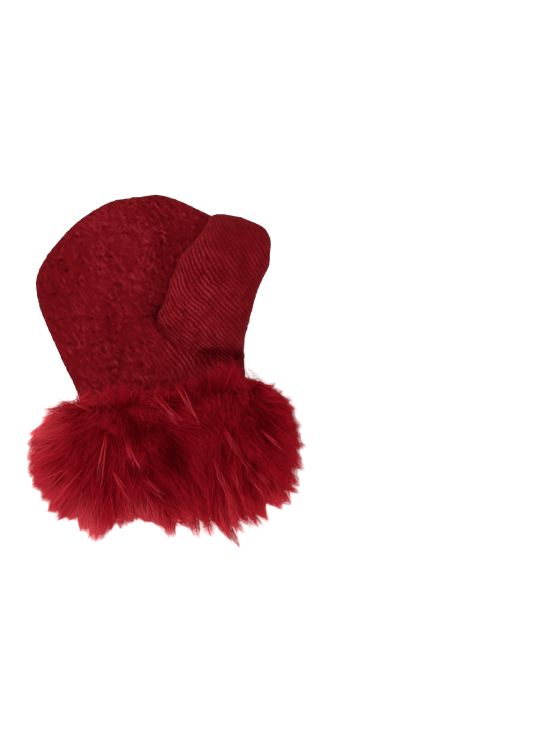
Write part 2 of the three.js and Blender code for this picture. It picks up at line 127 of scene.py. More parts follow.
# Sections of the thumb from root to tip: along, left, right, loft, sink.
THUMB_SECTIONS = np.array([
    [-0.06, -0.30, 0.42, -0.10, 0.50],
    [0.0, -0.47, 0.485, 0.20, 0.52],
    [0.05, -0.59, 0.477, 0.49, 0.52],
    [0.14, -0.632, 0.45, 0.81, 0.48],
    [0.26, -0.60, 0.437, 0.96, 0.28],
    [0.40, -0.595, 0.437, 1.0, 0.0],
    [0.52, -0.575, 0.44, 1.0, 0.0],
    [0.62, -0.545, 0.46, 0.98, 0.0],
    [0.71, -0.47, 0.485, 0.94, 0.0],
    [0.80, -0.415, 0.455, 0.88, 0.0],
    [0.88, -0.388, 0.425, 0.78, 0.0],
    [0.94, -0.37, 0.36, 0.66, 0.0],
    [0.98, -0.26, 0.25, 0.52, 0.0],
    [1.0, -0.02, -0.02, 0.38, 0.0],
])

# The dense fur round the wrist: turn, out, fore, aft.
FUR_SECTIONS = np.array([
    [0, 1.12, 0.48, -0.18],
    [28, 1.16, 0.49, -0.25],
    [52, 1.00, 0.47, -0.30],
    [70, 0.72, 0.43, -0.29],
    [96, 0.98, 0.39, -0.31],
    [124, 0.92, 0.36, -0.30],
    [152, 1.12, 0.35, -0.29],
    [180, 1.12, 0.31, -0.20],
    [222, 0.90, 0.34, -0.25],
    [270, 0.70, 0.40, -0.27],
    [318, 0.90, 0.43, -0.25],
], float)

# Rings of locks over the dense fur: turn, lean, long, count.
LOCK_RINGS = [
    (8, 1.1, 0.42, 14),
    (34, 0.62, 0.75, 15),
    (64, 0.42, 0.95, 15),
    (94, 0.36, 1.0, 15),
    (124, 0.34, 1.0, 15),
    (154, 0.40, 0.9, 14),
]

# The way that the fur lies on the cuff's back: across, heading.
FUR_FLOW = np.array([
    [-0.50, -80],
    [-0.38, -55],
    [-0.26, -22],
    [-0.13, 10],
    [0.0, 26],
    [0.12, 16],
    [0.25, 10],
    [0.38, 36],
    [0.50, 70],
], float)

# The tufts whose tips make the cuff's outline, in millimetres: across, along, heading, long, full, and notch,
# which is how deep the gap is after a tuft.
RIM_TUFTS = np.array([
    [-44.3, 26.8, -112, 13, 0.6, 2.7],
    [-53.1, 23.8, -96, 17, 0.4, 3.2],
    [-51.6, 20, -98, 15, 0.8, 2.2],
    [-56.9, 14.2, -92, 17, 1.6, 0.9],
    [-58.2, 9, -88, 17, 1.7, 0.5],
    [-58.6, 3, -82, 17, 1.7, 0.5],
    [-58, -3, -76, 17, 1.7, 0.9],
    [-55.6, -8.8, -66, 17, 1.1, 2.7],
    [-52, -14.2, -60, 16, 0.9, 3.6],
    [-48.8, -19.4, -50, 17, 0.9, 3.6],
    [-44.7, -23.4, -42, 18, 1.1, 3.6],
    [-39.5, -22.6, -28, 15, 0.9, 3.5],
    [-34.2, -27.2, -20, 17, 1.1, 2.5],
    [-30.0, -32.2, -12, 22, 1.7, 1.0],
    [-27.0, -32.8, -8, 22, 1.6, 4.0],
    [-22, -27.6, -2, 18, 1.3, 2.7],
    [-16.4, -26, 4, 17, 1.2, 2.7],
    [-12, -22.6, 2, 14, 0.8, 3.6],
    [-6.1, -22.8, 8, 15, 0.9, 1.6],
    [-0.6, -24.2, 12, 16, 0.9, 3],
    [3.9, -31.6, 6, 21, 1.5, 6],
    [8.6, -23.8, 4, 15, 0.8, 4],
    [13.6, -31.6, 5, 21, 1.0, 13],
    [21.2, -31.0, 22, 21, 0.9, 14.5],
    [31.6, -34.8, 34, 27, 2.0, 10.5],
    [34.6, -30.0, 36, 22, 0.9, 9],
    [38.2, -26.6, 38, 20, 0.8, 12],
    [41.6, -27.0, 38, 22, 0.8, 8],
    [44.6, -23.6, 38, 18, 0.7, 8],
    [50.2, -18.8, 40, 14, 0.9, 2.5],
    [54.0, -16.6, 46, 14, 1.0, 1.8],
    [57.0, -11.8, 56, 17, 1.1, 1.0],
    [58.0, -8.2, 58, 14, 0.9, 2.2],
    [59.4, -2.0, 66, 18, 1.3, 0.8],
    [59.2, 2.4, 78, 15, 1.1, 1.8],
    [60.2, 8.6, 80, 18, 1.4, 1.2],
    [58.6, 12.6, 90, 15, 1.0, 0.6],
    [58.4, 17.4, 92, 17, 1.3, 2.0],
    [56.4, 23.8, 100, 18, 1.3, 0.8],
    [54.4, 27.6, 110, 15, 1.2, 1.6],
    [50.8, 32.4, 124, 15, 1.2, 0.8],
    [46.8, 34.8, 138, 13, 1.0, 1.2],
    [41.6, 36.0, 154, 11, 0.7, 0.0],
])

# Where the mouth of the wrist is in the model's frame, in millimetres
MOUTH_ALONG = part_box("hand_shell")[1].y * 1000 - HAND_LENGTH


def placed(points):
    """Points of the mitten's own frame, in metres in the model's frame."""
    return (np.asarray(points) + (0, MOUTH_ALONG, 0)) * 0.001


def row_at(table, t):
    """A row between the rows of a table, on a smooth curve through them."""
    last = len(table) - 1
    place = np.clip(t, 0, 1) * last
    first = np.minimum(np.floor(place).astype(int), last - 1)
    f = (place - first)[..., None]
    a, b, c, d = (table[np.clip(first + step, 0, last)] for step in (-1, 0, 1, 2))
    enter = (c - a) / 2
    leave = (d - b) / 2
    return b + f * (enter + f * (3 * (c - b) - 2 * enter - leave + f * (2 * (b - c) + enter + leave)))


STEPS = np.linspace(0, 1, 8001)
HAND_ALONG = np.maximum.accumulate(row_at(HAND_SECTIONS, STEPS)[:, 0])
THUMB_ALONG = np.maximum.accumulate(row_at(THUMB_SECTIONS, STEPS)[:, 0])


def outline(angle):
    """A section's outline at an angle: its share across and up, and whether it is under the side fold."""
    c = np.cos(angle)
    s = np.sin(angle)
    power = 2 / np.where(s > 0, CROWN_SQUARENESS, SOLE_SQUARENESS)
    return np.sign(c) * np.abs(c) ** power, np.abs(s) ** power, s < 0


def turned(x, y, angle):
    """How far a plan offset reaches along a direction, in radians from +Y towards +X, and across it."""
    return x * math.sin(angle) + y * math.cos(angle), x * math.cos(angle) - y * math.sin(angle)


def fold_rise(x, y):
    """The rise of the palm's folds at a place."""
    rise = 0
    for across, along, turn, reach, spread, height in PALM_FOLDS:
        run, off = turned(x - across * HAND_WIDTH, y - along * HAND_LENGTH, math.radians(turn))
        run = run / (reach * HAND_LENGTH)
        off = off / (spread * HAND_WIDTH)
        rise = rise + height * HAND_LOFT * np.exp(-run * run - off * off)
    return rise


def hand_section(t):
    """The hand's section at t: y, middle, half width, and the heights of its sole, side fold and crown."""
    row = row_at(HAND_SECTIONS, np.asarray(t, float))
    bottom = row[..., 4] * CUFF_LIFT
    top = bottom + row[..., 3] * HAND_LOFT
    middle = (row[..., 1] + row[..., 2]) / 2 * HAND_WIDTH
    half = (row[..., 2] - row[..., 1]) / 2 * HAND_WIDTH
    return row[..., 0] * HAND_LENGTH, middle, half, bottom - PRESS, bottom + SIDE_HEIGHT * (top - bottom), top


def hand_place(y):
    """The place t of a distance from the mouth."""
    return np.interp(y / HAND_LENGTH, HAND_ALONG, STEPS)


def hand_point(t, angle, grow):
    """A point of the hand's surface, moved out by grow, or in where grow is negative."""
    y, middle, half, bottom, side, top = hand_section(t)
    across, up, under = outline(angle)
    x = middle + np.maximum(half + grow, 0.05) * across
    crown = np.maximum(top - side + grow + fold_rise(x, y), 0.1)
    sole = np.maximum(side - bottom + grow, 0.1)
    z = side + np.where(under, -sole, crown) * up
    lowest = -grow * (1 - PRESS / KNIT_WALL)
    z = np.where(np.asarray(grow) > 0, z, np.maximum(z, lowest))
    return np.stack(np.broadcast_arrays(x, y, z), -1)


def palm_height(x, y):
    """The palm's height at a place, or 0 off the hand."""
    _, middle, half, _, side, top = hand_section(hand_place(y))
    share = np.minimum(np.abs((x - middle) / np.maximum(half, 0.05)), 1)
    up = (1 - share ** CROWN_SQUARENESS) ** (1 / CROWN_SQUARENESS)
    return np.where(share >= 1, 0, side + (top - side + fold_rise(x, y)) * up)


def thumb_rest(x, y):
    """The height that the thumb's underside rests at."""
    _, middle, half, _, _, _ = hand_section(hand_place(y))
    shoulder = middle + THUMB_SHOULDER * half
    past = np.maximum(x - shoulder, 0) / (half * (1 - THUMB_SHOULDER))
    ease = 1 / (1 + past * past * 0.5)
    return THUMB_FREE_HEIGHT + (palm_height(np.minimum(x, shoulder), y) + SEAT_GAP - THUMB_FREE_HEIGHT) * ease


def thumb_plan(run, off):
    """The plan place of a point at a run along the thumb and off its middle line."""
    x = THUMB_ROOT_ACROSS + run * math.sin(THUMB_LEAN) + off * math.cos(THUMB_LEAN)
    y = THUMB_ROOT_ALONG + run * math.cos(THUMB_LEAN) - off * math.sin(THUMB_LEAN)
    return x, y


def thumb_point(t, angle, inset):
    """A point of the thumb's surface, moved in by inset."""
    row = row_at(THUMB_SECTIONS, np.asarray(t, float))
    along, left, right, loft, sink = (row[..., k] for k in range(5))
    across, up, under = outline(angle)
    run = np.minimum(along * THUMB_LENGTH, THUMB_LENGTH) - np.where(along > 0.5, inset * along, 0)
    half = np.maximum((right - left) / 2 * THUMB_WIDTH - inset, 0.05)
    x, y = thumb_plan(run, (left + right) / 2 * THUMB_WIDTH + half * across)
    rest = thumb_rest(x, y)
    low = rest - np.maximum(sink, 0) * HAND_LOFT
    high = rest + loft * THUMB_LOFT
    side = low + SIDE_HEIGHT * (high - low)
    reach = np.where(under, side - low - inset, high - side - inset)
    z = side + np.where(under, -1, 1) * np.maximum(reach, 0.1) * up
    return np.stack(np.broadcast_arrays(x, y, z), -1)


def thumb_place(x, y):
    """Where a plan point lies along the thumb from its root, and how far it is inside the thumb's outline."""
    run, off = turned(x - THUMB_ROOT_ACROSS, y - THUMB_ROOT_ALONG, THUMB_LEAN)
    row = row_at(THUMB_SECTIONS, np.interp(run / THUMB_LENGTH, THUMB_ALONG, STEPS))
    inside = np.minimum(off - row[..., 1] * THUMB_WIDTH, row[..., 2] * THUMB_WIDTH - off)
    ends = np.minimum(run - THUMB_SECTIONS[0, 0] * THUMB_LENGTH, THUMB_LENGTH - run)
    return run, np.minimum(inside, ends)


def noise(x, y, seed):
    """Smooth noise from -1 to 1 that changes over about one unit."""
    ix = np.floor(x).astype(np.int64)
    iy = np.floor(y).astype(np.int64)
    fx = x - ix
    fy = y - iy
    ux = fx * fx * (3 - 2 * fx)
    uy = fy * fy * (3 - 2 * fy)

    def corner(dx, dy):
        return scatter(ix + dx, iy + dy, seed) * 2 - 1

    low = corner(0, 0) * (1 - ux) + corner(1, 0) * ux
    high = corner(0, 1) * (1 - ux) + corner(1, 1) * ux
    return low * (1 - uy) + high * uy


def scatter(i, j, seed):
    """A steady number from 0 to 1 for a pair of whole numbers."""
    n = (i * 374761393 + j * 668265263 + seed * 974634777) & 0xFFFFFFFF
    n = ((n ^ (n >> 13)) * 1274126177) & 0xFFFFFFFF
    return ((n ^ (n >> 16)) & 0xFFFF) / 65535


def smooth_step(low, high, value):
    """From 0 at low to 1 at high, with a smooth start and end."""
    f = np.clip((value - low) / (high - low), 0, 1)
    return f * f * (3 - 2 * f)


# Meshes

def mesh_of(name, points, quads, tris):
    """A mesh object in the model's frame, from points in the mitten's own frame."""
    quads = np.asarray(quads, np.int32).reshape(-1, 4)
    tris = np.asarray(tris, np.int32).reshape(-1, 3)
    corners = np.concatenate([quads.ravel(), tris.ravel()])
    starts = np.concatenate([np.arange(len(quads)) * 4, quads.size + np.arange(len(tris)) * 3])
    points = placed(points).astype(np.float32).reshape(-1, 3)
    mesh = bpy.data.meshes.new(name)
    mesh.vertices.add(len(points))
    mesh.vertices.foreach_set("co", points.ravel())
    mesh.loops.add(len(corners))
    mesh.loops.foreach_set("vertex_index", corners)
    mesh.polygons.add(len(starts))
    mesh.polygons.foreach_set("loop_start", starts.astype(np.int32))
    mesh.update(calc_edges=True)
    mesh.shade_smooth()
    piece = bpy.data.objects.new(name, mesh)
    bpy.context.scene.collection.objects.link(piece)
    return piece


def skin(name, rings, pole):
    """A closed skin from rings of points, with a flat cap on the first and a pole on the last."""
    count, sides = rings.shape[:2]
    j = np.arange(sides)
    after = np.roll(j, -1)
    base = np.arange(count - 1)[:, None] * sides
    quads = np.stack([base + j, base + sides + j, base + sides + after, base + after], -1)
    start = count * sides
    last = start - sides
    cap = np.stack([np.full(sides, start), j, after], -1)
    tip = np.stack([np.full(sides, start + 1), last + after, last + j], -1)
    points = np.concatenate([rings.reshape(-1, 3), [rings[0].mean(0)], [pole]])
    return mesh_of(name, points, quads, np.concatenate([cap, tip]))


def ring_skin(name, loops):
    """A closed skin from loops of points that follow each other round a ring."""
    count, sides = loops.shape[:2]
    i = np.arange(count)[:, None] * sides
    onward = np.roll(i, -1, axis=0)
    j = np.arange(sides)
    after = np.roll(j, -1)
    return mesh_of(name, loops, np.stack([i + j, i + after, onward + after, onward + j], -1), [])


def grid_normals(rings):
    """Outward directions at the points of a grid of rings."""
    onward = np.gradient(rings, axis=0)
    around = np.roll(rings, -1, 1) - np.roll(rings, 1, 1)
    normal = np.cross(onward, around)
    return normal / np.maximum(np.linalg.norm(normal, axis=-1, keepdims=True), 1e-9)


def fine_rings(point, t, columns):
    """A grid on a form with evenly spaced columns: its points, and each one's length round from the crown."""
    top_count, under_count = columns
    upper = np.linspace(0, np.pi, ROUND_SAMPLES)
    dense = np.concatenate([upper, np.linspace(np.pi, 2 * np.pi, ROUND_SAMPLES)[1:]])
    coarse = point(t[:, None], dense[None, :])
    lengths = np.linalg.norm(np.diff(coarse, axis=1), axis=-1)
    lengths = np.concatenate([np.zeros((len(t), 1)), np.cumsum(lengths, 1)], 1)
    angles = np.empty((len(t), top_count + under_count))
    around = np.empty_like(angles)
    for i, length in enumerate(lengths):
        side = length[ROUND_SAMPLES - 1]
        over = np.linspace(0, side, top_count + 1)[:-1]
        goals = np.concatenate([over, np.linspace(side, length[-1], under_count + 1)[:-1]])
        angles[i] = np.interp(goals, length, dense)
        around[i] = np.interp(np.pi / 2, dense, length) - goals
    return point(t[:, None], angles), around


def meridian(row, length, width, crown, step, start):
    """Places t from start to the tip, spaced evenly by the lengths of a form's crown and side lines."""
    lines = np.stack([row[:, 0] * length, crown, 0.7 * row[:, 1] * width, 0.7 * row[:, 2] * width], -1)
    total = np.concatenate([[0], np.cumsum(np.sqrt((np.diff(lines, axis=0) ** 2).sum(1)))])
    first = np.interp(start, STEPS, total)
    count = max(int((total[-1] - first) / step), 2)
    return np.interp(np.linspace(first, total[-1], count + 1)[:-1], total, STEPS)


def cut(piece, *others):
    """Cuts other closed forms out of a piece."""
    for other in others:
        modifier = piece.modifiers.new("cut", "BOOLEAN")
        modifier.operation = "DIFFERENCE"
        modifier.solver = "MANIFOLD"
        modifier.object = other
    made = bpy.data.meshes.new_from_object(piece.evaluated_get(bpy.context.evaluated_depsgraph_get()))
    piece.modifiers.clear()
    piece.data = made


def hand_form(name, grow, past, sides=64, count=48):
    """The hand's closed form, moved out by grow, whose mouth end runs straight on by past."""
    angles = np.arange(sides) / sides * 2 * np.pi
    rings = hand_point(np.arange(count)[:, None] / count, angles, grow)
    rings[..., 1] *= 1 + grow / HAND_LENGTH
    mouth = rings[:1] * (1, 0, 1) - (0, past, 0)
    y, middle, _, _, side, _ = hand_section(1.0)
    return skin(name, np.concatenate([mouth, rings]), (middle, y * (1 + grow / HAND_LENGTH), side))


def thumb_form(name, inset, sides=44, count=32):
    """The thumb's closed form, moved in by inset."""
    angles = np.arange(sides) / sides * 2 * np.pi
    rings = thumb_point((np.arange(count) / count)[:, None], angles[None, :], inset)
    return skin(name, rings, thumb_point(1.0, 0.0, inset))


# Knit relief. Each gives a height in millimetres and a tone, below 0 in a pit, where it is painted shade, and
# above 0 on a raised stitch, where it is a painted highlight, besides the yarn's own uneven tone.

# The thumb's ridges: along in millimetres, and how level they run there.
RIDGE_SLOPES = np.array([
    [30, 0.52],
    [52, 0.49],
    [60, 0.53],
    [66, 0.61],
    [72, 0.68],
    [78, 0.64],
    [85, 0.56],
    [92, 0.50],
    [120, 0.45],
])
RIDGE_ALONG = np.linspace(30, 125, 400)
RIDGE_LEVEL = np.interp(RIDGE_ALONG, RIDGE_SLOPES[:, 0], RIDGE_SLOPES[:, 1])
RIDGE_STEPS = (RIDGE_LEVEL[1:] + RIDGE_LEVEL[:-1]) / 2 * np.diff(RIDGE_ALONG)
RIDGE_RISE = np.concatenate([[0], np.cumsum(RIDGE_STEPS)])
RIDGES_EACH = 0.615

# The palm's rows and clusters of stitches
ROW_WIDTH = 1.65
CLUSTER_ACROSS = 5.4
CLUSTER_ALONG = 5.0


def thumb_relief(x, y):
    """Fine ridges that run aslant in a slow wave, steeper at the thumb's edge, and a little beaded, whose
    tone is a painted highlight on the ridges and painted shade between them.
    """
    steep = 0.12 * smooth_step(70, 100, y) * (x - 28)
    from_edge = np.maximum(x + 2.7 - 0.5 * (y - 59.5), 0)
    edge = 1.6 * (1 - np.exp(-from_edge / 6))
    warp = 0.34 * noise(x / 7, y / 7, 31) + 0.20 * noise(x / 2.4, y / 2.4, 32)
    place = RIDGES_EACH * (0.62 * x + steep + edge + np.interp(y, RIDGE_ALONG, RIDGE_RISE)) + warp
    row = np.floor(place)
    phase = place - row
    ridge = np.sin(np.pi * phase) ** 1.6
    shift = scatter(row.astype(np.int64), np.zeros_like(row, np.int64), 5)
    run = 0.74 * x - 0.68 * y
    bead = run / 1.7 + 0.5 * (row % 2) + 0.5 * shift + 0.4 * noise(x / 3, y / 3, 33)
    beads = np.cos(2 * np.pi * (bead + 0.3 * phase))
    streak = noise(run / 2.6, place, 34)
    vigour = (1.2 - 0.7 * smooth_step(14, 34, x)) * (1 + 0.5 * noise(x / 5, y / 5, 17))
    vigour = vigour * (1 - 0.55 * smooth_step(90, 101, y))
    shape = (ridge - 0.42 + 0.3 * beads * ridge + 0.45 * streak * ridge) * vigour
    return 0.42 * shape, 2.4 * shape + 0.3 * streak


def palm_relief(s, v):
    """Slanted stitches in uneven rows, gathered into clusters of raised stitches round small pits, with
    painted shade in the pits and a painted highlight on the raised stitches.
    """
    ws = s + 1.1 * noise(s / 12, v / 12, 3) + 0.32 * noise(s / 3.2, v / 3.2, 4)
    wv = v + 1.1 * noise(s / 12, v / 12, 5) + 0.32 * noise(s / 3.2, v / 3.2, 6)
    steep = np.radians(54 + 5 * noise(s / 24, v / 24, 7) + 6 * smooth_step(-30, -50, s))
    off = (ws + 8) * np.sin(steep) + (wv - 75) * np.cos(steep)
    run = (ws + 8) * np.cos(steep) - (wv - 75) * np.sin(steep)
    row = np.floor(off / ROW_WIDTH)
    phase = off / ROW_WIDTH - row
    shift = scatter(row.astype(np.int64), np.zeros_like(row, np.int64), 9)
    rib = np.sin(np.pi * phase) ** 0.8
    stroke = noise(run / 1.9 + 40 * shift, row, 21)
    fine = noise(s / 0.75, v / 0.75, 22) + 0.8 * noise(run / 1.2, off / 0.55, 23)

    pits = 0
    knobs = 0
    near = 0
    row_at_v = np.floor(wv / CLUSTER_ALONG).astype(np.int64)
    for dj in (-1, 0, 1):
        j = row_at_v + dj
        start = 0.5 * (j % 2)
        column = np.floor(ws / CLUSTER_ACROSS - start).astype(np.int64)
        for di in (-1, 0, 1):
            i = column + di
            cs = (i + 0.5 + start + 0.55 * (scatter(i, j, 11) - 0.5)) * CLUSTER_ACROSS
            cv = (j + 0.5 + 0.55 * (scatter(i, j, 12) - 0.5)) * CLUSTER_ALONG
            strength = 0.35 + 0.80 * scatter(i, j, 13) ** 1.2
            lean = 2.0 * (scatter(i, j, 14) - 0.5) - 0.6
            ds = ws - cs
            dv = wv - cv
            level = ds * np.cos(lean) + dv * np.sin(lean)
            tall = -ds * np.sin(lean) + dv * np.cos(lean)
            near = near + strength * np.exp(-(ds * ds + dv * dv) / 4.2)
            pits = pits + strength * np.exp(-(level ** 2 / 2.2 + (tall + 0.1) ** 2 / 0.7))
            knobs = knobs + strength * np.exp(-(level ** 2 / 2.2 + (tall - 1.2) ** 2 / 0.5))
            knobs = knobs + 0.6 * strength * np.exp(-((level - 0.8) ** 2 / 1.4 + (tall + 1.35) ** 2 / 0.45))
    near = np.minimum(near, 1)
    patch = smooth_step(-0.5, 0.6, noise(s / 5.5, v / 5.5, 15))
    vigour = (0.30 + 0.40 * patch + 0.6 * near) * (1 - 0.3 * smooth_step(-30, -44, s))
    ribs = (rib - 0.55) * (0.55 + 0.45 * stroke)
    blotch = noise(s / 7, v / 7, 41)
    height = (0.20 * ribs + 0.16 * stroke * rib + 0.06 * fine) * vigour + 0.24 * knobs - 0.30 * pits
    # The tone is darker in the pits and lighter on the knobs and ribs: painted shade and painted highlight.
    tone_and_painted_light = (0.9 * ribs + 1.3 * stroke * rib + 0.8 * fine) * vigour + 1.1 * knobs - 0.95 * pits
    # Darker towards the palm's left edge: painted shade that evens out the key lamp's light on that flank.
    return height, tone_and_painted_light + 0.2 * blotch - 0.35 * smooth_step(-30, -50, s)


def knitted(name, rings, height, tone_and_painted_light, pole):
    """A skin with its knit's relief in its shape, which keeps the knit's tones, with their painted shade and
    highlight, as a point attribute.
    """
    points = rings + grid_normals(rings) * height[..., None]
    points[..., 2] = np.maximum(points[..., 2], 0.0)
    piece = skin(name, points, pole)
    attribute = piece.data.attributes.new("tone_and_painted_light", "FLOAT", "POINT")
    attribute.data.foreach_set("value", np.append(tone_and_painted_light, [0, 0]).astype(np.float32))
    return piece


def fold_painted_shade(x, along):
    """How dark the painted shade is in the deep fold between the thumb's root and the cuff, and in a patch at
    the fold's right end by the cuff.
    """
    level = smooth_step(13, 20, x) * smooth_step(40, 34, x)
    fold = 1.7 * level * np.exp(-((along - 47.6 + 0.04 * (x - 25)) / 2.2) ** 2)
    return fold + 1.4 * smooth_step(27.5, 32, x) * np.exp(-((along - 43.5) / 4.5) ** 2)


# Hand

def hand_knit():
    """The hand, with the palm's stitches, the thumb's ridges near the thumb, and painted shade in its folds,
    beside the thumb and in the crease at the thumb's root.
    """
    row = row_at(HAND_SECTIONS, STEPS)
    crown = row[:, 4] * CUFF_LIFT + row[:, 3] * HAND_LOFT
    bare = hand_place(PLAIN_END)
    fine = meridian(row, HAND_LENGTH, HAND_WIDTH, crown, PALM_STEP, bare)
    t = np.concatenate([np.linspace(0, bare, PLAIN_RINGS)[:-1], fine])
    rings, around = fine_rings(lambda t, a: hand_point(t, a, 0.0), t, PALM_COLUMNS)
    y, middle, _, _, side, top = hand_section(t)
    rise = np.concatenate([[0], np.cumsum(np.hypot(np.diff(y), np.diff(top)))])
    s = middle[:, None] + around
    v = np.broadcast_to(rise[:, None], s.shape)
    x, along, z = np.moveaxis(rings, -1, 0)
    run, inside = thumb_place(x, along)
    above = z > side[:, None]
    height, tone_and_painted_light = palm_relief(s, v)
    ridge_height, ridge_tone_and_painted_light = thumb_relief(s, v)
    share = smooth_step(-17, -9, inside) * smooth_step(-4, 6, x) * smooth_step(60, 52, along)
    height = height + (0.9 * ridge_height - height) * share
    tone_and_painted_light = tone_and_painted_light + (ridge_tone_and_painted_light - tone_and_painted_light) * share
    # beside is a painted shadow of the thumb on the palm, along the thumb's edge.
    beside = np.exp(-((inside + 1.2) / 3.4) ** 2) * smooth_step(1, 7, run) * above
    beside = beside * (1 - 0.9 * smooth_step(20, 42, run))
    # curl is painted shade in the crease at the thumb's lower corner.
    curl = np.exp(-((inside + 1.0) / 1.5) ** 2) * smooth_step(-6, -1, run) * smooth_step(15, 8, run) * above
    curl = curl * smooth_step(14, 5, x)
    tone_and_painted_light = tone_and_painted_light - 1.4 * beside - 1.6 * curl - fold_painted_shade(x, along) * above
    clear = np.where(above, smooth_step(0.6, -1.2, inside), 1)
    fade = clear * smooth_step(PLAIN_END, 35, along) * smooth_step(HAND_LENGTH, HAND_LENGTH - 2, along)
    height = height * fade - 0.3 * smooth_step(1.2, 0.1, z)
    y, middle, _, _, side, _ = hand_section(1.0)
    return knitted("hand_knit", rings, height, tone_and_painted_light * fade, (middle, y, side))


def thumb_knit():
    """The thumb, with its slanting ridges, painted shade in its folds, low on its flank and in the crease at
    its root, and painted light on its root's slope.
    """
    row = row_at(THUMB_SECTIONS, STEPS)
    t = meridian(row, THUMB_LENGTH, THUMB_WIDTH, row[:, 3] * THUMB_LOFT, THUMB_STEP, 0.0)
    rings, around = fine_rings(lambda t, a: thumb_point(t, a, 0.0), t, THUMB_COLUMNS)
    row = row_at(THUMB_SECTIONS, t)
    run = row[:, 0] * THUMB_LENGTH
    climb = 0.8 * np.diff(row[:, 3] * THUMB_LOFT)
    along = np.concatenate([[0], np.cumsum(np.hypot(np.diff(run), climb))]) + run[0]
    off = (row[:, 1] + row[:, 2])[:, None] / 2 * THUMB_WIDTH + around
    height, tone_and_painted_light = thumb_relief(*thumb_plan(along[:, None], off))
    run = run[:, None]
    x, y, z = np.moveaxis(rings, -1, 0)
    _, inside = thumb_place(x, y)
    # Painted shade low on the thumb's flank where it lies on the palm, with the relief's tone weaker there.
    painted_flank_shade = np.exp(-np.maximum(z - thumb_rest(x, y), 0) / 1.6)
    painted_flank_shade = painted_flank_shade * smooth_step(4, 10, run) * smooth_step(26, 16, x)
    # Painted light on the thumb's root, whose slope faces away from the key lamp.
    painted_slope_light = smooth_step(14, 3, run) * smooth_step(3, 12, x)
    # curl is painted shade in the crease at the thumb's lower corner.
    curl = np.exp(-(inside / 1.2) ** 2) * smooth_step(9, 4, run) * smooth_step(14, 5, x)
    tone_and_painted_light = tone_and_painted_light * (1 - 0.5 * painted_flank_shade) - 0.4 * painted_flank_shade + 0.7 * painted_slope_light - 1.4 * curl - fold_painted_shade(x, y)
    fade = smooth_step(THUMB_LENGTH, THUMB_LENGTH - 1.2, run)
    return knitted("thumb_knit", rings, height * fade, tone_and_painted_light * fade, thumb_point(1.0, 0.0, 0.0))


# Fur

def vary(index, kind):
    """A steady number between -1 and 1 for a lock."""
    return math.sin(index * 12.9898 + kind * 78.233) * math.cos(index * 4.1414 + kind * 37.719)


def row_round(angle):
    """A row of the dense fur's table at an angle round the wrist."""
    degrees = np.degrees(angle) % 360
    low = np.searchsorted(FUR_SECTIONS[:, 0], degrees, "right") - 1
    high = (low + 1) % len(FUR_SECTIONS)
    f = (degrees - FUR_SECTIONS[low, 0]) / ((FUR_SECTIONS[high, 0] - FUR_SECTIONS[low, 0]) % 360)
    ease = (f * f * (3 - 2 * f))[..., None]
    return FUR_SECTIONS[low] + ease * (FUR_SECTIONS[high] - FUR_SECTIONS[low])


def wrist_point(along, angle, out):
    """A point round the wrist at a height over the knit."""
    point = hand_point(hand_place(np.maximum(along, 0)), angle, np.maximum(out, 0.01))
    point[..., 1] = along
    return point


def fur_point(angle, turn):
    """A point of the dense fur's surface, from its fingertip edge over its back to its mouth edge."""
    row = row_round(np.asarray(angle, float))
    fore = row[..., 2]
    aft = row[..., 3]
    along = FUR_LENGTH * (fore + aft + (fore - aft) * np.cos(turn)) / 2
    bulge = np.maximum(np.sin(turn), 0) ** FUR_FULLNESS
    return wrist_point(along, angle, FUR_DEPTH * row[..., 1] * bulge)


def fur_normal(angle, turn, step=0.05):
    """The outward direction of the dense fur's surface."""
    around = fur_point(angle + step, turn) - fur_point(angle - step, turn)
    back = fur_point(angle, turn + step) - fur_point(angle, turn - step)
    return unit(np.cross(around, back))


def unit(vectors):
    """Vectors made one long."""
    return vectors / np.maximum(np.linalg.norm(vectors, axis=-1, keepdims=True), 1e-9)


def heading_of(degrees):
    """The plan direction of a heading."""
    turn = np.radians(degrees)
    return np.stack([np.sin(turn), -np.cos(turn), np.zeros_like(turn)], -1)


# The cuff's outline, seen from above: from tip to notch round its tufts, and closed over the hand
RIM_MIDDLE = np.array([0.0, 0.05 * FUR_LENGTH])
RIM_TOP = (0.0, 48.0)
RIM_TIPS = RIM_TUFTS[:, :2]
RIM_WAYS = heading_of(RIM_TUFTS[:, 2])[:, :2]
RIM_NOTCHES = (RIM_TIPS[1:] + RIM_TIPS[:-1] - (RIM_WAYS[1:] + RIM_WAYS[:-1]) * RIM_TUFTS[:-1, 5:]) / 2
RIM_EDGE = np.empty((2 * len(RIM_TIPS), 2))
RIM_EDGE[0::2] = RIM_TIPS
RIM_EDGE[1::2] = [*RIM_NOTCHES, RIM_TOP]


def rim_place(points):
    """Where points lie round the cuff's middle: their bearing, and how far out they are."""
    off = points[..., :2] - RIM_MIDDLE
    return np.arctan2(off[..., 0], -off[..., 1]), np.hypot(off[..., 0], off[..., 1])


def reach_at(marks, bearing):
    """How far out the outline through some marks is at a bearing."""
    bearings, reaches = rim_place(marks)
    order = np.argsort(bearings)
    return np.interp(bearing, bearings[order], reaches[order])


def in_outline(points):
    """Whether points are inside the cuff's outline, seen from above."""
    x = points[..., 0]
    y = points[..., 1]
    inside = np.zeros(x.shape, bool)
    for (x1, y1), (x2, y2) in zip(RIM_EDGE, np.roll(RIM_EDGE, -1, axis=0)):
        if y1 != y2:
            inside ^= ((y1 > y) != (y2 > y)) & (x < (x2 - x1) * (y - y1) / (y2 - y1) + x1)
    return inside


def drawn_in(points, share):
    """Moves points that are past a share of the outline's notches straight in to it."""
    bearing, reach = rim_place(points)
    scale = np.minimum(share * reach_at(RIM_NOTCHES, bearing) / np.maximum(reach, 1), 1)
    out = points.copy()
    out[..., :2] = RIM_MIDDLE + (points[..., :2] - RIM_MIDDLE) * scale[..., None]
    return out


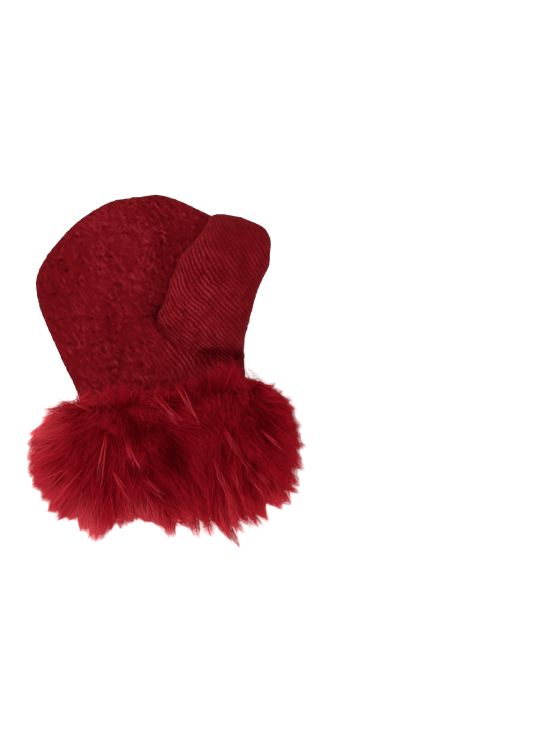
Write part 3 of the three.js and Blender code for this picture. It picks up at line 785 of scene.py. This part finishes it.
def gathered(paths, rng):
    """Shortens strands that reach past the cuff's outline, and draws their ends into its tufts."""
    paths = paths + (drawn_in(paths[:, 0], 0.97) - paths[:, 0])[:, None]
    root = paths[:, :1]
    shares = np.linspace(0.2, 1, 17)
    fits = in_outline(root + (paths[:, -1:] - root) * shares[:, None])
    last = np.maximum(np.logical_and.accumulate(fits, axis=1).sum(1) - 1, 0)
    share = shares[last] * np.where(last < len(shares) - 1, rng.uniform(0.80, 1.06, len(paths)), 1)
    out = root + (paths - root) * share[:, None, None]
    off = RIM_TIPS - out[:, -1:, :2]
    ahead = (off * RIM_WAYS).sum(-1)
    aside = off[..., 0] * RIM_WAYS[:, 1] - off[..., 1] * RIM_WAYS[:, 0]
    nearest = (np.abs(aside) + 0.3 * np.abs(ahead)).argmin(1)
    each = np.arange(len(paths))
    firm = 0.25 + 0.6 * smooth_step(1, 8, RIM_TUFTS[nearest, 5])
    firm = firm * (1 - 0.7 * smooth_step(7, 16, out[:, -1, 2]))
    pull = firm * np.exp(-(ahead[each, nearest] / 8) ** 2) * np.clip(aside[each, nearest], -3, 3)
    ways = RIM_WAYS[nearest]
    moved = np.stack([ways[:, 1], -ways[:, 0]], -1) * pull[:, None]
    out[..., :2] += moved[:, None] * np.linspace(0, 1, paths.shape[1])[None, :, None] ** 2
    return out


def back_angles(turn, shares):
    """Angles round the wrist, evenly apart along the dense fur's surface."""
    angles = np.linspace(-BACK_REACH, np.pi + BACK_REACH, 61)
    points = fur_point(angles, turn)
    lengths = np.concatenate([[0], np.cumsum(np.linalg.norm(np.diff(points, axis=0), axis=1))])
    return np.interp(np.clip(shares, 0, 1) * lengths[-1], lengths, angles)


def lock_table():
    """The cuff's locks, as the solid fur has them. Each row holds a root, a tip, a bend and a radius."""
    rows = []
    for r, (ring_turn, ring_lean, ring_long, count) in enumerate(LOCK_RINGS):
        for i in range(count):
            index = r * 100 + i
            share = (i + 0.5 * (r % 2) + 0.25 + 0.22 * vary(index, 1)) / count
            angle = back_angles(math.radians(ring_turn), share)
            turn = math.radians(ring_turn + 7 * vary(index, 2))
            surface = fur_point(angle, turn)
            normal = fur_normal(angle, turn)
            flow = heading_of(np.interp(surface[0] / FUR_WIDTH, FUR_FLOW[:, 0], FUR_FLOW[:, 1]))
            flow = flow - normal * flow.dot(normal)
            direction = unit(flow + normal * ring_lean * (1 + 0.3 * vary(index, 3)))
            length = LOCK_LENGTH * ring_long * (1 + 0.2 * vary(index, 4))
            tip = surface + direction * length * 0.85
            tip[2] = max(tip[2] - 0.08 * length, 0.15 * LOCK_RADIUS)
            root = surface - normal * 0.3 * LOCK_RADIUS
            rows.append([*root, *tip, 0.1 * length, LOCK_RADIUS * (1 + 0.15 * vary(index, 5))])
    return np.array(rows)


def cross_ways(direction):
    """Level directions across others, and directions over both."""
    across = np.cross(direction, (0.0, 0.0, 1.0))
    across[np.linalg.norm(across, axis=-1) < 0.2] = (1.0, 0.0, 0.0)
    across = unit(across)
    return across, unit(np.cross(across, direction))


def clear_of_hand(points):
    """Pushes points out of the hand, and out of the open way into it, and keeps them over the floor."""
    x, y, z = np.moveaxis(points, -1, 0)
    along = np.maximum(y, 0)
    _, middle, half, bottom, side, top = hand_section(hand_place(along))
    upper = z > side
    power = np.where(upper, CROWN_SQUARENESS, SOLE_SQUARENESS)
    free = np.maximum(smooth_step(-42, -27, y), 0.01)
    tall = (np.where(upper, top - side + fold_rise(x, along), side - bottom) + OVER_KNIT) * free
    wide = (half + OVER_KNIT) * free
    reach = ((np.abs(x - middle) / wide) ** power + (np.abs(z - side) / tall) ** power) ** (1 / power)
    inside = (reach < 1) & (y < HAND_LENGTH)
    grow = np.where(inside, 1 / np.maximum(reach, 0.05), 1)
    return np.stack([middle + (x - middle) * grow, y, np.maximum(side + (z - side) * grow, 0.15)], -1)


def strand_paths(roots, tips, bends, lengths, rng, curl, frizz):
    """Curved paths from roots to tips, that arch over, sway and end a little short or long."""
    f = np.linspace(0, 1, STRAND_POINTS)[None, :, None]
    across, over = (way[:, None] for way in cross_ways(unit(tips - roots)))
    each = (len(roots), 1, 1)
    reach = roots[:, None] + (tips - roots)[:, None] * f * np.reshape(lengths, each)
    arch = over * (4 * np.reshape(bends, each) * f * (1 - 0.75 * f))
    phase = rng.uniform(0, 2 * np.pi, each)
    sway = curl * rng.normal(0, 1, each) * np.sin(phase + f * 4.2) * f
    bob = 0.6 * curl * rng.normal(0, 1, each) * np.sin(phase + 1 + f * 3.6) * f
    jitter = frizz * rng.normal(0, 1, (len(roots), STRAND_POINTS, 3)) * f
    return reach + arch + across * sway + over * bob + jitter


def strand_mesh(name, paths, widths, shades, rng):
    """Closed tapered strands with three sides. Their map holds each one's shade, and the share along it."""
    count = len(paths)
    rings = STRAND_POINTS - 1
    along = unit(np.gradient(paths, axis=1))[:, :rings]
    across = unit(np.cross(along, (0.13, 0.21, 0.97)))
    over = np.cross(along, across)
    twist = rng.uniform(0, 2 * np.pi, (count, 1, 1))
    shares = np.arange(rings) / rings
    taper = np.minimum(0.75 + shares, 1) * (1 - 0.8 * shares ** 1.6)
    radius = 0.5 * widths[:, None, None] * taper[None, :, None]
    turns = [twist + k * 2 * np.pi / 3 for k in range(3)]
    sides = [paths[:, :rings] + radius * (across * np.cos(turn) + over * np.sin(turn)) for turn in turns]
    body = np.stack(sides, 2).reshape(count, rings * 3, 3)
    points = np.concatenate([body, paths[:, -1:]], 1)
    points[..., 2] = np.maximum(points[..., 2], 0.02)
    tip = rings * 3
    last = tip - 3
    pairs = [(k, (k + 1) % 3) for k in range(3)]
    quads = [[i + k, i + after, i + 3 + after, i + 3 + k] for i in range(0, last, 3) for k, after in pairs]
    tris = [[last + k, last + after, tip] for k, after in pairs] + [[0, 2, 1]]
    base = np.arange(count)[:, None, None] * (tip + 1)
    all_quads = base + quads
    all_tris = base + tris
    piece = mesh_of(name, points, all_quads, all_tris)
    chart = np.empty((count, tip + 1, 2), np.float32)
    chart[..., 0] = shades[:, None]
    chart[..., 1] = 0.02 + 0.96 * np.append(np.repeat(shares, 3), 1.0)
    order = np.concatenate([all_quads.ravel(), all_tris.ravel()])
    layer = piece.data.uv_layers.new(name="OFBake")
    layer.data.foreach_set("uv", chart.reshape(-1, 2)[order].ravel())
    return piece


# Painted light and shade of the fur by place, lighter on the rims and lit tufts and darker in the hollows:
# across, along in millimetres, reach, and lighter or darker.
FUR_PAINTED_LIGHT = [
    (-50, 15, 13, 0.26),
    (-45, -14, 11, 0.14),
    (-31, -28, 9, 0.30),
    (-6, -24, 10, 0.24),
    (14, -23, 8, 0.28),
    (30, -24, 9, 0.18),
    (0, -19, 7, 0.14),
    (46, -15, 6, 0.08),
    (-11, 16, 7, -0.20),
    (9, 4, 6.5, -0.28),
    (0, 9, 8, -0.12),
    (0, -9, 6, -0.24),
    (-24, 25, 6, 0.32),
    (27, 29, 6, 0.12),
    (8, 24, 5, -0.16),
    (45, 26, 9, -0.18),
    (-34, 2, 11, -0.08),
    (-14, 5, 4.5, 0.26),
    (15.5, 2, 3.5, 0.26),
    (8, 12, 4, -0.18),
    (10.5, 4, 3.5, -0.20),
    (11, -3, 3.5, -0.18),
    (12, 12, 3.5, 0.22),
    (2, 20, 4, 0.14),
    (-28, 31, 9, 0.18),
    (-6, 30, 8, 0.28),
    (10, 30, 8, 0.18),
    (20, 26, 9, 0.04),
    (47, 14, 9, -0.22),
    (56, 14, 9, -0.20),
    (54, -3, 10, -0.26),
]

# Long pale guard hairs that show in the fur: start across, along, end across, along, how many.
GUARD_HAIRS = [
    (-21.2, 14.6, -24.6, -6.4, 5),
    (-1.5, 29.3, 9.0, 17.5, 7),
    (8.2, 33.5, 15.3, 19.6, 5),
    (-19.1, 0.7, -14.1, -8.5, 5),
    (-16.0, -6.0, -10.5, -17.0, 4),
    (-5.7, -3.5, 3.6, -13.1, 6),
    (-13.4, 10.5, -6.0, -2.0, 6),
    (42.6, 15.4, 51.0, 7.0, 5),
    (26.0, 17.0, 33.0, 3.0, 5),
    (24.0, -2.0, 31.0, -15.0, 6),
    (36.0, -3.0, 43.0, -12.0, 5),
    (-38.0, 2.0, -47.0, -5.0, 3),
    (-44.0, 20.0, -51.0, 16.0, 4),
    (38.4, -0.5, 43.9, -7.7, 4),
    (28.8, -0.5, 33.4, -9.8, 4),
    (23.6, 2.5, 26.5, -8.5, 4),
    (33.0, 6.7, 38.0, -1.6, 3),
    (33.0, -9.0, 37.5, -17.0, 4),
]

# Hollows between the cuff's tufts: across, along, reach across, reach along, depth.
FUR_HOLLOWS = [
    (-13, 15, 6.0, 4.0, 3.5),
    (8, 4, 5.0, 8.0, 8.5),
    (2, -10, 7.0, 4.0, 7.0),
    (45, 26, 8.0, 4.0, 4.0),
    (-22, 0, 3.5, 10.0, 3.0),
    (27, 12, 3.5, 12.0, 3.0),
    (36, -4, 3.5, 9.0, 2.5),
]

# The way that the coat's hair lies: across, heading.
COAT_FLOW = np.array([
    [-0.50, -82],
    [-0.38, -58],
    [-0.27, -28],
    [-0.19, -6],
    [-0.12, 24],
    [-0.04, 40],
    [0.06, 36],
    [0.13, 20],
    [0.25, 12],
    [0.38, 42],
    [0.50, 72],
], float)


def sunk(points):
    """Presses fur down in the hollows, where it lies over the wrist."""
    x = points[..., 0]
    y = points[..., 1]
    dip = 0
    for across, along, wide, long, depth in FUR_HOLLOWS:
        dip = dip + depth * np.exp(-((x - across) / wide) ** 2 - ((y - along) / long) ** 2)
    out = points.copy()
    out[..., 2] -= dip * smooth_step(22, 32, points[..., 2])
    return out


def fur_shade(tips, rng, base=0.30):
    """How light each strand is, by where its tip lies: painted light near the outline, painted light and
    shade by place, and a random tone.
    """
    x = tips[:, 0]
    y = tips[:, 1]
    bearing, out = rim_place(tips)
    # Tips near the outline get painted light, as though lit through the rim's thin hair.
    shade = base + 0.30 * smooth_step(0.70, 0.98, out / reach_at(RIM_TIPS, bearing))
    for across, along, reach, lighter in FUR_PAINTED_LIGHT:
        shade = shade + lighter * np.exp(-((x - across) ** 2 + (y - along) ** 2) / reach ** 2)
    shade = shade + 0.08 * noise(x / 7, y / 7, 61) + rng.normal(0, 0.07, len(x))
    return np.clip(shade, 0.02, 0.98)


def tuft_strands(roots, tips, bends, hairs, spread, rng, curl=1.0, close=(0.15, 0.7)):
    """The paths of hairs gathered along tufts."""
    each = np.repeat(np.arange(len(roots)), hairs)
    total = len(each)
    direction = unit(tips - roots)
    across, over = cross_ways(direction)
    off = rng.normal(0, 1, (total, 3)) * spread
    beside = across[each] * off[:, :1]
    above = over[each] * off[:, 1:2]
    root = roots[each] + beside + above + direction[each] * off[:, 2:]
    tip = tips[each] + (beside + above) * rng.uniform(*close, (total, 1))
    tip = tip + direction[each] * rng.normal(0, 1.2, (total, 1))
    bend = bends[each] * rng.uniform(0.5, 1.5, total)
    lengths = np.clip(rng.normal(0.96, 0.14, total), 0.5, 1.12)
    return strand_paths(root, tip, bend, lengths, rng, curl, 0.12)


def lock_strands(rng, tufts=8, hairs=16):
    """The hair of the cuff's locks, in finer tufts."""
    table = lock_table()
    roots = table[:, None, :3]
    tips = table[:, None, 3:6]
    wide = table[:, None, 7:] * 1.2
    each = (len(table), tufts, 1)
    direction = unit(tips - roots)
    length = np.linalg.norm(tips - roots, axis=-1, keepdims=True)
    across, over = cross_ways(direction)
    a, b = rng.uniform(-1, 1, (2, *each))
    c = rng.uniform(-0.5, 0.3, each)
    start = roots + across * a * wide + over * b * wide * 0.35 + direction * c * length
    aside = 0.6 * a + rng.normal(0, 0.5, each)
    end = tips + across * aside * wide + direction * rng.uniform(-0.45, 0.05, each) * length
    end = end + over * (0.35 * b + 0.3 * rng.normal(0, 1, each)) * wide * 0.5
    bend = np.repeat(table[:, 6], tufts) * rng.uniform(0.6, 1.6, len(table) * tufts)
    paths = tuft_strands(start.reshape(-1, 3), end.reshape(-1, 3), bend, hairs, (2.2, 0.9, 2.6), rng)
    return gathered(paths, rng)


def rim_strands(rng, layers=3, hairs=20):
    """The tufts whose tips make the cuff's outline, in layers from the floor up."""
    rows = []
    for x, y, heading, long, full, _ in RIM_TUFTS:
        step = 1.4 if abs(x) < 34 and y < 0 else 3.0
        for layer in range(layers):
            swing = heading + rng.normal(0, 5)
            reach = long * rng.uniform(0.85, 1.15)
            tip = np.array([x, y, 1.2 + step * layer + rng.uniform(-0.6, 0.8)])
            tip[:2] -= heading_of(heading)[:2] * (0.07 * long * layer + rng.uniform(0, 1.0))
            tip[:2] += rng.normal(0, 0.5, 2)
            root = tip - heading_of(swing) * reach
            root[2] = tip[2] + step * (0.5 + 0.4 * layer)
            rows += [[*root, *tip, 1.75 * full ** 0.6]] * max(int(full * hairs), 3)
    rows = np.array(rows)
    start = rows[:, :3]
    end = rows[:, 3:6]
    each = (len(rows), 1)
    direction = unit(end - start)
    aside = rng.normal(0, 1, each)
    rise = rng.normal(0, 1, each)
    back = rng.exponential(0.11, each)
    aside = cross_ways(direction)[0] * aside * rows[:, 6:]
    start = start + aside + rise * (0.0, 0.0, 0.8) + direction * rng.uniform(-2, 3, each)
    end = end + aside * (0.15 + 1.7 * back) + rise * (0.0, 0.0, 0.25) + direction * (1.8 - back * 14)
    return strand_paths(start, end, np.full(each, 1.2), np.ones(each), rng, 0.7, 0.08)


def coat_strands(rng, tufts=660, hairs=17):
    """The coat between and over the locks, that flows in one sweep over the dense fur."""
    shares = rng.uniform(0, 1, tufts)
    turns = np.radians(rng.uniform(5, 168, tufts))
    angles = np.array([back_angles(turn, share) for turn, share in zip(turns, shares)])
    surface = fur_point(angles, turns)
    normal = fur_normal(angles, turns)
    heading = np.interp(surface[:, 0] / FUR_WIDTH, COAT_FLOW[:, 0], COAT_FLOW[:, 1])
    heading = heading + 24 * noise(surface[:, 0] / 15, surface[:, 1] / 15, 71) + rng.normal(0, 9, tufts)
    way = heading_of(heading)
    flow = way - normal * (way * normal).sum(1)[:, None]
    lean = rng.uniform(0.16, 0.42, (tufts, 1))
    length = rng.uniform(0.62, 1.0, (tufts, 1)) * LOCK_LENGTH
    front = smooth_step(40, 15, np.degrees(turns))[:, None]
    steep = (0.35 + 1.3 * front ** 2) * (0.0, 0.0, 1.0)
    aim = unit(flow + normal * lean) * (1 - front) + (way + steep) * front
    end = surface + unit(aim) * length * 0.85
    end[:, 2] = np.maximum(end[:, 2] - 0.1 * length[:, 0], 0.6)
    start = surface - normal * 1.5
    paths = tuft_strands(start, end, 0.12 * length[:, 0], hairs, (2.1, 0.7, 2.8), rng, 1.2, (0.5, 1.1))
    return gathered(paths, rng)


def edge_wisps(rng, tufts=260, hairs=7):
    """Thin hair at the cuff's fingertip edge, that lies loosely over the knit."""
    angles = np.radians(np.concatenate([rng.uniform(-14, 194, tufts), rng.uniform(12, 70, tufts // 2)]))
    tufts = len(angles)
    start = fur_point(angles, np.radians(rng.uniform(2, 30, tufts)))
    way = np.radians(rng.uniform(-62, 62, tufts))
    longer = smooth_step(12, 20, start[:, 0]) * smooth_step(37, 31, start[:, 0])
    longer = longer + 0.6 * smooth_step(-6, -14, start[:, 0]) * smooth_step(-38, -32, start[:, 0])
    length = rng.uniform(4, 10, tufts) * (1 + 0.5 * longer)
    way = way * (1 - 0.5 * longer)
    end = start + np.stack([np.sin(way) * length, np.cos(way) * length, rng.uniform(0.5, 3.5, tufts)], -1)
    paths = tuft_strands(start, end, 0.1 * length, hairs, (1.2, 0.5, 1.0), rng, 0.8)
    beside = np.abs(paths[:, -1, 0] + 2) > 35
    paths[beside] = gathered(paths[beside], rng)
    return paths


def mouth_strands(rng, tufts=170, hairs=9):
    """Hair round the mouth, that hangs back past the wrist."""
    angles = rng.uniform(0, 2 * np.pi, tufts)
    turns = np.radians(rng.uniform(150, 181, tufts))
    start = fur_point(angles, np.minimum(turns, np.pi))
    outward = np.stack([np.cos(angles), np.zeros(tufts), np.sin(angles)], -1)
    length = rng.uniform(8, 15, tufts) * np.where(np.sin(angles) < -0.2, 0.7, 1)
    aim = outward * rng.uniform(0.1, 0.55, tufts)[:, None] + (0.0, -1.0, 0.0)
    aim[:, 0] += rng.normal(0, 0.25, tufts)
    end = start + unit(aim) * length[:, None]
    return gathered(tuft_strands(start, end, 0.08 * length, hairs, (1.5, 0.6, 1.5), rng, 0.9), rng)


def guard_strands(coat, rng):
    """Long single hairs that lie on top of the coat."""
    places = coat[:, 1:].reshape(-1, 3)

    def height(x, y):
        close = np.hypot(places[:, 0] - x, places[:, 1] - y) < 2.2
        return np.percentile(places[close, 2], 96) if close.any() else RIM_HEIGHT

    roots = []
    tips = []
    for x0, y0, x1, y1, many in GUARD_HAIRS:
        for _ in range(many):
            aside = rng.normal(0, 1.1, 2)
            apart = rng.normal(0, 1.0, 2)
            start = (x0 + aside[0], y0 + aside[1])
            end = (x1 + aside[0] * 0.5 + apart[0], y1 + aside[1] * 0.5 + apart[1])
            roots.append((*start, height(*start) - 0.6))
            tips.append((*end, height(*end) + 0.6))
    roots = np.array(roots)
    tips = np.array(tips)
    bends = np.full(len(roots), 0.8)
    return strand_paths(roots, tips, bends, rng.uniform(0.75, 1.1, len(roots)), rng, 0.5, 0.05)


def stray_strands(rng, each=4):
    """Thin single hairs that stand a little out of the cuff's outline."""
    row = np.repeat(RIM_TUFTS, each, axis=0)
    total = len(row)
    way = heading_of(row[:, 2] + rng.normal(0, 16, total))
    tip = np.column_stack([row[:, :2], rng.uniform(1, 6, total)]) + way * rng.uniform(-1, 3.2, (total, 1))
    root = tip - way * row[:, 3:4] * rng.uniform(0.6, 1.0, (total, 1)) + (0, 0, 1)
    return strand_paths(root, tip, np.full(total, 1.0), np.ones(total), rng, 1.6, 0.1)


def fur_under():
    """The dense undercoat: the fur's own ring, with the open way into the wrist through it."""
    angles = np.linspace(0, 2 * np.pi, 181)[:-1, None]
    back = fur_point(angles, np.linspace(0, np.pi, 41)[None, :])
    aft = back[:, -1:, 1]
    along = aft + (back[:, :1, 1] - aft) * np.linspace(0.1, 0.9, 9)[None, :]
    tunnel = wrist_point(along, angles, np.full_like(along, 0.5))
    loops = drawn_in(np.concatenate([sunk(back), tunnel], 1), 0.97)
    loops[..., 2] = np.maximum(loops[..., 2], 0.1)
    return ring_skin("fur_under", loops)


def fur_hairs(rng):
    """Every strand of the fur: its path, its shade and its width."""
    coat = sunk(np.concatenate([lock_strands(rng), coat_strands(rng)]))
    rim = rim_strands(rng)
    body = np.concatenate([coat, rim])
    body_shades = fur_shade(body[:, -1], rng)
    wisps = edge_wisps(rng)
    mouth = mouth_strands(rng)
    guards = guard_strands(clear_of_hand(body), rng)
    strays = stray_strands(rng)
    shades = [
        body_shades,
        fur_shade(wisps[:, -1], rng, 0.18) - 0.12 * smooth_step(8, 16, wisps[:, -1, 0]),
        fur_shade(mouth[:, -1], rng),
        rng.uniform(0.25, 0.6, len(strays)),
        rng.uniform(0.66, 0.92, len(guards)),
    ]
    kinds = (coat, rim, wisps, mouth, strays, guards)
    paths = clear_of_hand(np.concatenate(kinds))
    thickness = np.repeat((1.0, 1.25, 0.8, 1.0, 0.7, 1.15), [len(kind) for kind in kinds])
    return paths, np.concatenate(shades), thickness * rng.uniform(0.16, 0.28, len(paths))


# Materials

# Colours of the knit in its pits, on its rows and on its raised stitches: the dark end is painted shade of
# pits, folds and creases, the light end a painted highlight
KNIT_COLOURS = [
    (0.0, (0.040, 0.0008, 0.0020)),
    (0.5, (0.128, 0.0024, 0.0054)),
    (1.0, (0.225, 0.0110, 0.0175)),
]

# Colours of hair from root to tip, where it is darkest and where it is lightest; each strand's shade, which
# carries painted light and shade, mixes between them
HAIR_DARK = [
    (0.0, (0.165, 0.0011, 0.0052)),
    (0.5, (0.205, 0.0013, 0.0062)),
    (1.0, (0.25, 0.0022, 0.0090)),
]
HAIR_LIGHT = [
    (0.0, (0.40, 0.0030, 0.0112)),
    (0.5, (0.58, 0.0080, 0.0225)),
    (1.0, (0.74, 0.0210, 0.0440)),
]
# Painted shade of the darkest hair, deep in the hollows
HAIR_HOLLOW_SHADE = (0.07, 0.0006, 0.0020, 1)
# A painted highlight towards the tips of the lightest strands, at the rim and in the guard hairs
HAIR_TIP_HIGHLIGHT = (0.85, 0.15, 0.19, 1)
UNDER_COLOURS = [(0.2, (0.15, 0.0010, 0.004)), (0.8, (0.30, 0.0028, 0.009))]


def fill(tree, node, inputs):
    """Links a node's inputs from sockets, or sets them to plain values."""
    for key, value in inputs.items():
        if isinstance(value, bpy.types.NodeSocket):
            tree.links.new(value, node.inputs[key])
        else:
            node.inputs[key].default_value = value
    return node


def add_node(tree, kind, inputs, **settings):
    """A new shader node of a kind."""
    node = tree.nodes.new("ShaderNode" + kind)
    for key, value in settings.items():
        setattr(node, key, value)
    return fill(tree, node, inputs)


def worked(tree, operation, *values):
    """The result of one step of arithmetic on sockets and numbers."""
    return add_node(tree, "Math", dict(enumerate(values)), operation=operation).outputs[0]


def weighted(tree, base, *parts):
    """A base and parts times their weights, added up."""
    for part, weight in parts:
        base = worked(tree, "ADD", base, worked(tree, "MULTIPLY", part, weight))
    return base


def excess(tree, level, limit):
    """How far a level is over a limit, or 0."""
    return worked(tree, "MAXIMUM", worked(tree, "SUBTRACT", level, limit), 0.0)


def noises(tree, *kinds):
    """Smooth noises over the object, each of a scale, a detail and a roughness."""
    place = add_node(tree, "TexCoord", {}).outputs["Object"]
    for scale, detail, roughness in kinds:
        inputs = {"Vector": place, "Scale": scale, "Detail": detail, "Roughness": roughness}
        yield add_node(tree, "TexNoise", inputs).outputs["Fac"]


def ramp(tree, level, colours):
    """A colour by a level."""
    node = add_node(tree, "ValToRGB", {"Fac": level})
    while len(node.color_ramp.elements) < len(colours):
        node.color_ramp.elements.new(0.5)
    for element, (position, colour) in zip(node.color_ramp.elements, colours):
        element.position = position
        element.color = (*colour, 1)
    return node.outputs["Color"]


def mixed(tree, share, first, second):
    """A colour between two. The numbers are the mix node's sockets for a share and for colours."""
    return add_node(tree, "Mix", {0: share, 6: first, 7: second}, data_type="RGBA").outputs[2]


def bump(tree, height, strength, distance):
    """A surface direction that follows a height."""
    inputs = {"Height": height, "Strength": strength, "Distance": distance}
    return add_node(tree, "Bump", inputs).outputs["Normal"]


def material_of(name, look):
    """A material whose shader's inputs come from a function of its node tree."""
    material = bpy.data.materials.new(name)
    material.use_nodes = True
    tree = material.node_tree
    fill(tree, tree.nodes["Principled BSDF"], look(tree))
    return material


def knit_look(tree):
    """Knit whose colour follows its tones, which carry painted shade and highlight, with the yarn's and the
    fibres' grain.
    """
    tone_and_painted_light = add_node(tree, "Attribute", {}, attribute_name="tone_and_painted_light").outputs["Fac"]
    slow, yarn, fibre = noises(tree, (45, 3, 0.5), (1100, 3, 0.6), (3200, 2, 0.6))
    level = weighted(tree, 0.09, (tone_and_painted_light, 0.22), (slow, 0.36), (yarn, 0.42))
    return {
        "Roughness": 0.9,
        "Specular IOR Level": 0.02,
        "Base Color": ramp(tree, level, KNIT_COLOURS),
        "Normal": bump(tree, weighted(tree, yarn, (fibre, 0.5)), 0.8, 0.00025),
    }


def under_look(tree):
    """Dense undercoat, mottled."""
    slow, fine = noises(tree, (120, 4, 0.5), (1500, 3, 0.5))
    return {
        "Roughness": 0.85,
        "Specular IOR Level": 0.05,
        "Base Color": ramp(tree, weighted(tree, 0.0, (slow, 0.6), (fine, 0.5)), UNDER_COLOURS),
        "Normal": bump(tree, fine, 0.9, 0.0006),
    }


def fur_look(tree):
    """Hair whose colour depends only on its map: its own shade across, which carries painted light and shade,
    and the share along it.
    """
    chart = add_node(tree, "UVMap", {}, uv_map="OFBake").outputs["UV"]
    shade, along, _ = add_node(tree, "SeparateXYZ", {"Vector": chart}).outputs
    colour = mixed(tree, shade, ramp(tree, along, HAIR_DARK), ramp(tree, along, HAIR_LIGHT))
    # Strands of the lowest shade turn darker still: painted shade in the hollows.
    deep = worked(tree, "MULTIPLY", excess(tree, 0.22, shade), 3.6)
    # The lightest strands turn paler towards their tips: a painted highlight.
    pale = worked(tree, "MULTIPLY", worked(tree, "MULTIPLY", excess(tree, shade, 0.55), 1.3), along)
    colour = mixed(tree, pale, mixed(tree, deep, colour, HAIR_HOLLOW_SHADE), HAIR_TIP_HIGHLIGHT)
    return {"Roughness": 0.7, "Specular IOR Level": 0.015, "Base Color": colour}


def floor_look(tree):
    """A plain pale floor that glows a little."""
    return {
        "Roughness": 0.9,
        "Specular IOR Level": 0.1,
        "Base Color": (0.92, 0.92, 0.92, 1),
        "Emission Color": (1, 1, 1, 1),
        "Emission Strength": 0.65,
    }


# Making

hand = hand_knit()
thumb = thumb_knit()
hollow = hand_form("hand_hollow", -KNIT_WALL, 2 * KNIT_WALL)
clearance = hand_form("hand_clearance", SEAT_GAP, 3 * LOCK_LENGTH)
thumb_hollow = thumb_form("thumb_hollow", KNIT_WALL)
cut(hand, hollow, thumb_hollow)
cut(thumb, thumb_hollow, clearance)
for tool in (hollow, clearance, thumb_hollow):
    bpy.data.objects.remove(tool)
for piece in (hand, thumb):
    piece.data.materials.clear()
    piece.data.materials.append(material_of(piece.name, knit_look))

under = fur_under()
under.data.materials.append(material_of("fur_under", under_look))

rng = np.random.default_rng(FUR_SEED)
paths, shades, widths = fur_hairs(rng)
fur_material = material_of("fur", fur_look)
fur_pieces = []
for start in range(0, len(paths), STRANDS_EACH):
    some = slice(start, start + STRANDS_EACH)
    name = f"fur_strands_{len(fur_pieces) + 1}"
    fur_pieces.append(strand_mesh(name, paths[some], widths[some], shades[some], rng))
    fur_pieces[-1].data.materials.append(fur_material)

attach(hand, "root")
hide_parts("hand_shell")
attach(thumb, "root")
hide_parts("thumb_shell")
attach(under, "root")
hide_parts("fur_cuff")
for piece in fur_pieces:
    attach(piece, "root")

# Floor, light and camera

FLOOR_HALF = 3.0
FLOOR_DROP = 0.0002
DAYLIGHT = 0.85
CAMERA_PLACE = (0.04683, -0.0003, 0.912)
CAMERA_LENS = 105.2

# Round lamps that point at the mitten: name, place, size, watts.
LAMPS = [
    ("key", (-0.5, 0.12, 0.8), 0.5, 5),
    ("fill", (0.35, -0.7, 0.8), 0.8, 3.4),
]


def placed_object(name, data, place):
    """A new object in the scene."""
    made = bpy.data.objects.new(name, data)
    made.location = place
    bpy.context.scene.collection.objects.link(made)
    return made


corners = [(x * FLOOR_HALF, y * FLOOR_HALF, 0) for x, y in ((-1, -1), (1, -1), (1, 1), (-1, 1))]
floor_mesh = bpy.data.meshes.new("floor")
floor_mesh.from_pydata(corners, [], [range(4)])
floor_mesh.materials.append(material_of("floor", floor_look))
floor = placed_object("floor", floor_mesh, (0, 0, -FLOOR_DROP))

world = bpy.data.worlds.new("studio")
world.use_nodes = True
tree = world.node_tree
fill(tree, tree.nodes["Background"], {"Color": (1, 1, 1, 1), "Strength": DAYLIGHT})
bpy.context.scene.world = world

for name, place, size, watts in LAMPS:
    lamp = bpy.data.lights.new(name, "AREA")
    lamp.shape = "DISK"
    lamp.size = size
    lamp.energy = watts
    light = placed_object(name, lamp, place)
    light.rotation_euler = (-Vector(place)).to_track_quat("-Z", "Y").to_euler()

camera_data = bpy.data.cameras.new("camera")
camera_data.lens = CAMERA_LENS
camera_data.sensor_width = 36
camera_data.clip_start = 0.01
camera_data.clip_end = 20
bpy.context.scene.camera = placed_object("camera", camera_data, CAMERA_PLACE)
bpy.context.scene.view_settings.view_transform = "Standard"
